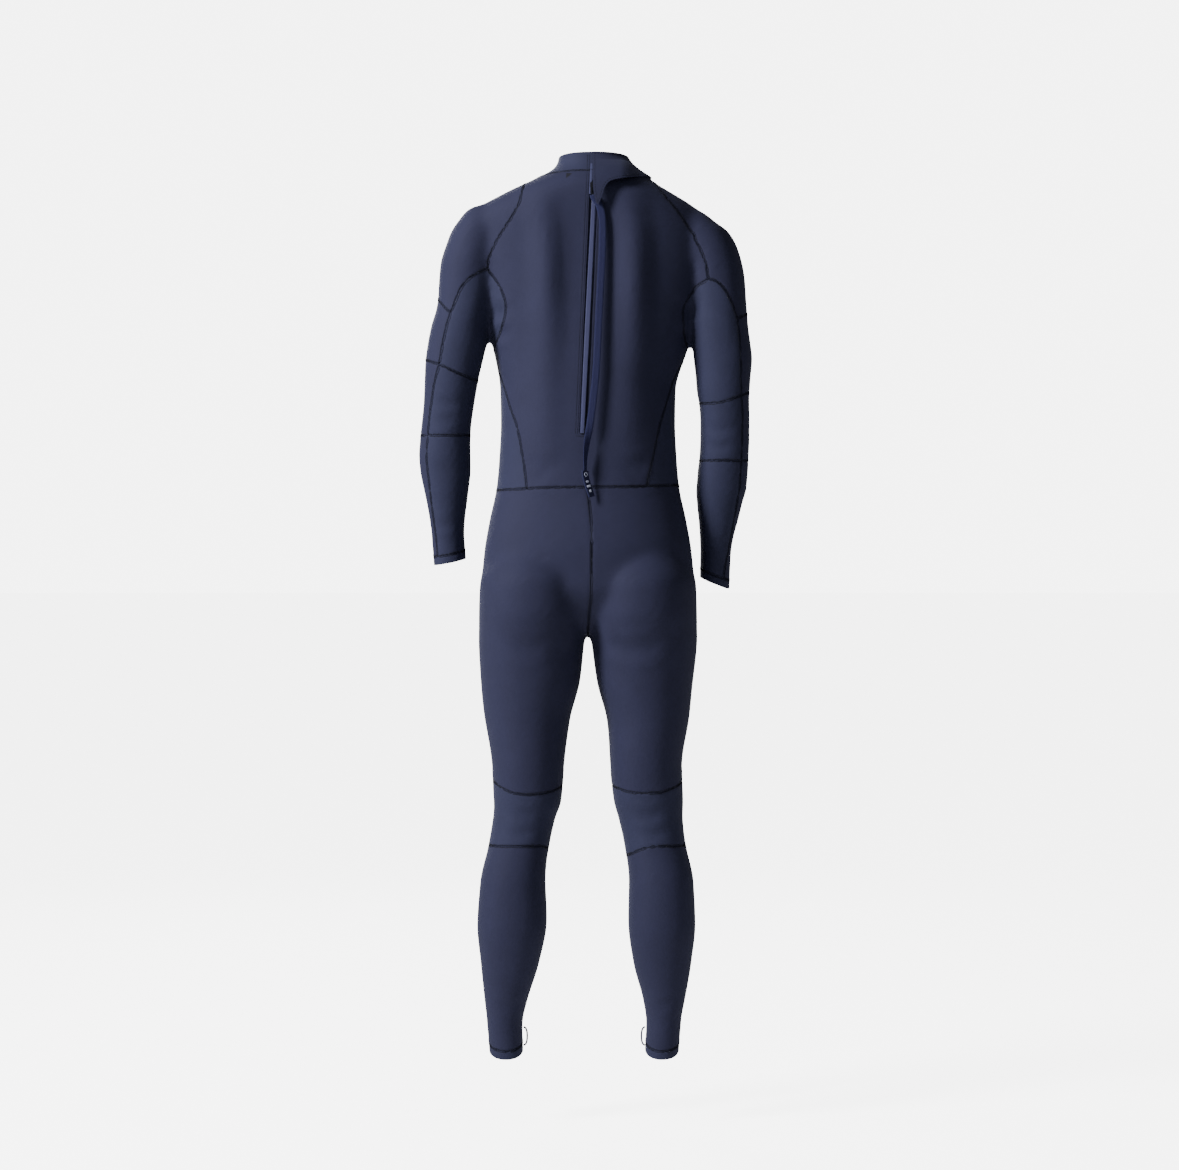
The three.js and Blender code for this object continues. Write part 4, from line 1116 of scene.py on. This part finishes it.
# %% Coils
TOOTH_PITCH = 1.3 * MM
COIL_TOP, COIL_FOOT = 4 * MM, 406 * MM
for side, s in (("left", -1), ("right", 1)):
    count = int((COIL_FOOT - COIL_TOP) / TOOTH_PITCH)
    shift = 0.0 if s < 0 else 0.5
    path = []
    for k in range(count):
        a = COIL_TOP + (k + shift) * TOOTH_PITCH
        for across, depth, ahead in ((-0.5, 1.5, 0), (0.3, 1.1, 0.1), (2.9, 1.1, 0.2), (3.4, 1.8, 0.45),
                                     (2.9, 2.5, 0.7), (0.3, 2.5, 0.85)):
            if s < 0:
                depth += 0.75 if depth < 2 else 0.0
            path.append(zip_point(s * across * MM, a + ahead * TOOTH_PITCH, depth * MM))
    coil = tubes_object(f"{side}_zip_coil_turns", [swept_tube(np.array(path), 0.36 * MM, 5)], COIL)
    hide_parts(f"{side}_zip_coil")
    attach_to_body(coil, "suit")
print("turns on each coil:", count)

# %% [markdown]
# ## Metal parts
#
# Slider, pull tab and stops are die-cast zinc under dark enamel. Their CAD form is already exact, so
# they are copied, and their sharp edges are bevelled as casting and enamel leave them.


# %% Softened copies of CAD nodes
def node_body(name):
    return next(body for body, members in record["behaviour"]["bodies"].items() if name in members)


def loose_copy(name):
    """A free copy of a CAD node, without its tags."""
    made = nodes[name].copy()
    made.data = nodes[name].data.copy()
    for key in list(made.keys()):
        del made[key]
    made.parent = None
    made.hide_render = made.hide_viewport = False
    bpy.context.collection.objects.link(made)
    return made


def softened(name, new_name, material, bevel):
    made = loose_copy(name)
    made.name = new_name
    work = bmesh.new()
    work.from_mesh(made.data)
    bmesh.ops.remove_doubles(work, verts=work.verts, dist=1e-6)
    bmesh.ops.dissolve_limit(work, angle_limit=math.radians(4), verts=work.verts, edges=work.edges)
    sharp = [e for e in work.edges if e.is_manifold and e.calc_face_angle() > math.radians(35)]
    bmesh.ops.bevel(work, geom=sharp, offset=bevel, segments=2, profile=0.6, affect="EDGES",
                    clamp_overlap=True)
    bmesh.ops.triangulate(work, faces=work.faces)
    work.to_mesh(made.data)
    work.free()
    made.data.polygons.foreach_set("use_smooth", [True] * len(made.data.polygons))
    made.data.set_sharp_from_angle(angle=math.radians(40))
    paint(made, material)
    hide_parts(name)
    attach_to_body(made, node_body(name))
    return made


METAL_PARTS = ("slider_body", "pull_tab", "left_top_stop", "right_top_stop", "bottom_stop")
for name in METAL_PARTS:
    softened(name, f"{name}_metal", ZINC, 0.22 * MM)
print("metal parts:", len(METAL_PARTS))

# %% [markdown]
# ## The neck flap
#
# The flap is a neoprene tongue that comes over from the wearer's right and covers the zip's upper
# end. It is a stiff sheet, so instead of a simulation it is cut from a patch of the torso's loft,
# which is lifted over the slider and lies close to the collar on the right.

# %% The flap's outline and lift
FLAP_OUTLINE = [
    (8, -14), (8, 20), (8, 45), (9, 64), (12, 80), (15, 88), (19, 82), (24, 69), (28, 57), (37, 47),
    (54, 42), (77, 37), (100, 33.5), (140, 32), (140, -14),
]
FLAP_THICKNESS = 2.7 * MM
FLAP_FRONT_Y = -15 * MM


def flap_lift(points):
    over_zip = 1 - smoothstep((points[:, 0] - LEAN_X) / MM, 50, 88)
    low = smoothstep(-points[:, 2] / MM, -8, 34)
    return (0.3 + 10 * over_zip * low) * MM


def outline_distance(x, z, outline):
    """Signed distance to a closed outline, negative inside."""
    corners = np.asarray(outline, float)
    place = np.stack([x, z], axis=1)
    best = np.full(len(x), 9.0)
    inside = np.zeros(len(x), bool)
    for a, b in zip(corners, np.roll(corners, -1, axis=0)):
        edge = b - a
        t = np.clip(((place - a) @ edge) / (edge @ edge), 0, 1)
        best = np.minimum(best, np.linalg.norm(place - a - t[:, None] * edge, axis=1))
        crosses = (a[1] > z) != (b[1] > z)
        with np.errstate(divide="ignore", invalid="ignore"):
            hit = x < (b[0] - a[0]) * (z - a[1]) / (b[1] - a[1]) + a[0]
        inside ^= crosses & hit
    return np.where(inside, -best, best)


# %% The flap's patch
flap_rows = smooth_rows(TORSO, 2)
flap_rows = flap_rows[flap_rows[:, 0] < 100]
ring_count = 420
patch = np.array([oval(*row, ring_count, TORSO_FULLNESS) for row in flap_rows])
back_right = [j for j in range(ring_count) if patch[10, j, 1] < 0.0 and patch[10, j, 0] > -0.02]
patch = patch[:, back_right]
rows, columns = patch.shape[:2]
patch_faces = []
for r in range(rows - 1):
    for c in range(columns - 1):
        k = r * columns + c
        patch_faces += [(k, k + 1, k + columns), (k + 1, k + columns + 1, k + columns)]
print("flap patch:", len(patch_faces), "triangles")

# %% [markdown]
# The lifted patch is cut along the flap's outline, at the fold line on the right and level with the
# neck opening, in the same way as the panels were cut at their seams.

# %% Cutting the flap
patch_points, patch_faces = patch.reshape(-1, 3), np.array(patch_faces)
patch_normals = vertex_normals(patch_points, patch_faces)
outward_sign = 1 if patch_normals[:, 1].mean() < 0 else -1
patch_normals = patch_normals * outward_sign
if outward_sign < 0:
    patch_faces = patch_faces[:, ::-1]
flap_points = patch_points + patch_normals * (flap_lift(patch_points) + FLAP_THICKNESS)[:, None]
smooth_outline = resample(catmull(FLAP_OUTLINE[1:-1], 8), 2.0)
smooth_outline = np.vstack([smooth_outline, FLAP_OUTLINE[-1:], FLAP_OUTLINE[:1]]) * [MM, -MM] + [LEAN_X, 0]
flap_signed = outline_distance(flap_points[:, 0], flap_points[:, 2], smooth_outline)
flap_signed = np.maximum(flap_signed, flap_points[:, 1] - FLAP_FRONT_Y)
rim_level = flap_points[:, 2] + 0.095 * flap_points[:, 1] + 0.5 * MM
flap_signed = np.maximum(flap_signed, rim_level)
flap_label = (flap_signed > 0).astype(int)
flap_distances = np.stack([np.maximum(flap_signed, 0), np.maximum(-flap_signed, 0)], axis=1)
flap_skin, flap_faces, flap_face_label, flap_segments = split_at_seams(
    flap_points, patch_faces, flap_label, flap_distances)
flap_normals = vertex_normals(flap_skin, flap_faces)
flap = thick_shell("neck_flap_cloth", flap_skin, flap_normals, flap_faces[flap_face_label == 0],
                   FLAP_THICKNESS, JERSEY, LINING)
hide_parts("neck_flap")
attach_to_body(flap, "neck_flap")
print("flap:", int(np.sum(flap_face_label == 0)), "triangles")

# %% Stitching round the flap's free edge
flap_surface = tree_of_triangles(flap_skin, flap_faces)
flap_tubes = []
for line in chains(flap_segments.get((0, 1), [])):
    edge = resample(flap_skin[line], 2.0 * MM)
    outward = np.array([flap_surface.find_nearest(Vector(p))[1][:] for p in edge])
    inward = unit(np.cross(outward, tangents(edge)))
    if np.mean(outline_distance(*(edge + inward * 2 * MM)[:, [0, 2]].T, smooth_outline)) > 0:
        inward = -inward
    nearest = [flap_surface.find_nearest(Vector(p)) for p in edge + inward * 3.2 * MM]
    row = np.array([np.array(found[0] + found[1] * 0.15 * MM) for found in nearest])
    for k in range(0, len(row) - 2, 2):
        flap_tubes.append(swept_tube(row[k:k + 2], 0.3 * MM, 4))
flap_stitching = tubes_object("neck_flap_edge_stitching", flap_tubes, STITCH)
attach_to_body(flap_stitching, "neck_flap")
print("stitches on the flap:", len(flap_tubes))

# %% [markdown]
# ## Patches, label and ankle loops
#
# The flap closes with hook and loop tape, whose pile is rough and black. Hair particles would be
# heavy for so small a patch, so a fine remesh is pushed in and out at random. The size label inside
# the collar is blank, and each ankle has a thin cord loop to pull the leg down by.


# %% Small soft parts
def remeshed(name, new_name, material, voxel, fuzz=0.0, swell=0.0):
    """A finely meshed, softly rounded copy of a small CAD part."""
    made = loose_copy(name)
    remesh = made.modifiers.new("remesh", "REMESH")
    remesh.mode = "VOXEL"
    remesh.voxel_size = voxel
    points, faces = baked(made)
    points = smoothed(points, faces, 2)
    points = points + swell * vertex_normals(points, faces)
    if fuzz:
        rng = np.random.default_rng(7)
        push = rng.uniform(-fuzz, fuzz, len(points))[:, None]
        points = points + vertex_normals(points, faces) * push
    piece = mesh_object(new_name, points, faces)
    paint(piece, material)
    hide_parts(name)
    return piece


hook_pile = remeshed("flap_hook_patch", "flap_hook_pile", HOOK, 0.45 * MM, fuzz=0.12 * MM)
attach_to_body(hook_pile, "neck_flap")
loop_pile = remeshed("collar_loop_patch", "collar_loop_pile", HOOK, 0.45 * MM, fuzz=0.12 * MM)
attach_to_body(loop_pile, "suit")
size_label = remeshed("size_label", "blank_size_label", PALE, 0.35 * MM)
# the label is moved 6.5 mm towards the chest and 4 mm up from its CAD place
size_label.location += Vector((0.0, 6.5 * MM, 4.0 * MM))
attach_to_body(size_label, "suit")
for side in ("left", "right"):
    loop = remeshed(f"{side}_ankle_pull_loop", f"{side}_ankle_loop_cord", WEBBING, 0.4 * MM,
                    swell=0.45 * MM)
    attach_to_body(loop, f"{side}_shin")
print("hook pile:", len(hook_pile.data.polygons), "faces, loop pile:", len(loop_pile.data.polygons), "faces")

# %% [markdown]
# ## The leash's end tab
#
# The foot of the leash carries a woven tab for the fingers, with a small eyelet and printed marks.
# The marks here are a few plain pale bars, thin enough to look printed.

# %% The tab
tab_points = np.array([(-4.6, -107.4, -520.3), (-4.6, -107.5, -526), (-1.6, -108, -540), (6, -108.6, -563)])
tab_line = resample(catmull(tab_points * MM + [LEAN_X, 0, 0], 10), 2 * MM)
tab_turn = LEASH_TWIST * 0.6
tab_across = np.tile([math.cos(tab_turn), math.sin(tab_turn), 0], (len(tab_line), 1))
end_tab = mesh_object("leash_end_tab_woven", *sweep(swept_band(tab_line, tab_across, 14 * MM, 3.2 * MM)))
paint(end_tab, TAB)
print("tab:", len(tab_line), "rings")

# %% Bars and eyelet
tab_along = tangents(tab_line)
tab_side = unit(tab_across - tab_along * np.sum(tab_across * tab_along, axis=1, keepdims=True))
tab_out = np.cross(tab_side, tab_along)
tab_out *= np.sign(-tab_out[:, 1:2])


def mark_at(place, width, length, name):
    k = min(int(place * (len(tab_line) - 1)), len(tab_line) - 2)
    middle = tab_line[k] + tab_out[k] * 1.75 * MM
    path = [middle - tab_along[k] * length / 2, middle + tab_along[k] * length / 2]
    made = mesh_object(name, *sweep(swept_band(path, [tab_side[k]] * 2, width, 0.3 * MM)))
    paint(made, PALE)
    return made


marks = [mark_at(place, width * MM, length * MM, f"end_tab_pale_bar_{k}")
         for k, (place, width, length) in enumerate(((0.42, 6, 3.2), (0.6, 8, 3.6), (0.78, 5, 4.2)))]
eyelet_middle = tab_line[3] + tab_out[3] * 1.7 * MM
eyelet_path = [eyelet_middle + 3.0 * MM * (math.cos(a) * tab_side[3] + math.sin(a) * tab_along[3])
               for a in np.linspace(0, 2 * math.pi, 25)]
marks.append(tubes_object("end_tab_eyelet", [swept_tube(np.array(eyelet_path), 0.7 * MM, 8)], PALE))
print("marks on the tab:", len(marks))

# %% The cord and what it carries
paint(leash, WEBBING)
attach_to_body(leash, "leash")
for piece in [end_tab, *marks]:
    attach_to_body(piece, "leash")
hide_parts("leash")
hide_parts("leash_end_tab")

# %% [markdown]
# ## Studio
#
# A plain pale floor under a plain pale surround. Rays from the camera see the surround and the floor
# bright, like paper lit by lamps of its own, and all other rays see them dim, so that they don't wash
# out the dark cloth. The key light stands high on the left, so the right side of the body and of each
# limb is darker.

# %% Pale floor and surround
PAPER = "#f4f4f4"
SEEN = 6.6                      # surround, as the camera sees it
FLOOR_GLOW = 5.9                # floor, as the camera sees it
DIM = 0.24                      # surround, as it lights the suit


def seen_by_camera(tree, seen, dim):
    """A number that is seen for rays from the camera and dim for all others."""
    rays = add_node(tree, "ShaderNodeLightPath")
    return add_node(tree, "ShaderNodeMath", {0: rays.outputs["Is Camera Ray"], 1: seen - dim, 2: dim},
                    operation="MULTIPLY_ADD").outputs[0]


FAR = 40
floor_corners = [(x, y, FLOOR_Z) for x, y in ((-FAR, -FAR), (FAR, -FAR), (FAR, FAR), (-FAR, FAR))]
floor = mesh_object("studio_floor", floor_corners, [(0, 1, 2, 3)])
floor_material = plain("pale_studio_floor", PAPER, rough=0.9, grain=8.0, height=0.2 * MM, specular=0.1)
floor_shader = floor_material.node_tree.nodes["Principled BSDF"]
floor_shader.inputs["Emission Color"].default_value = linear(PAPER)
floor_material.node_tree.links.new(seen_by_camera(floor_material.node_tree, FLOOR_GLOW, 0.0),
                                   floor_shader.inputs["Emission Strength"])
paint(floor, floor_material)
floor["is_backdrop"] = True
print("floor at", FLOOR_Z, "m")

# %% The surround
studio = bpy.data.worlds.new("pale_surround")
bpy.context.scene.world = studio
studio.use_nodes = True
surround = studio.node_tree.nodes["Background"]
surround.inputs["Color"].default_value = linear(PAPER)
studio.node_tree.links.new(seen_by_camera(studio.node_tree, SEEN, DIM), surround.inputs["Strength"])

# %% Lights
BEAM = math.radians(120)


def area_light(name, place, target, size, watts):
    data = bpy.data.lights.new(name, "AREA")
    data.shape = "RECTANGLE"
    data.size, data.size_y = size
    data.energy = watts
    data.spread = BEAM
    made = bpy.data.objects.new(name, data)
    bpy.context.collection.objects.link(made)
    made.location = place
    made.rotation_mode = "QUATERNION"
    made.rotation_quaternion = (Vector(target) - Vector(place)).to_track_quat("-Z", "Y")
    made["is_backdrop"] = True


area_light("key_left", (-3.1, -2.0, 1.5), (0.0, 0, -0.3), (0.9, 1.5), 150)
area_light("fill_front", (-1.5, 3.6, 1.0), (0.0, 0, -0.6), (1.5, 1.5), 60)
print("lights: key and fill")

# %% Sizes and finish
lowest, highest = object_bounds()
sizes["lowest"], sizes["highest"] = list(lowest), list(highest)
print("from", [round(v, 3) for v in lowest], "to", [round(v, 3) for v in highest], "m")
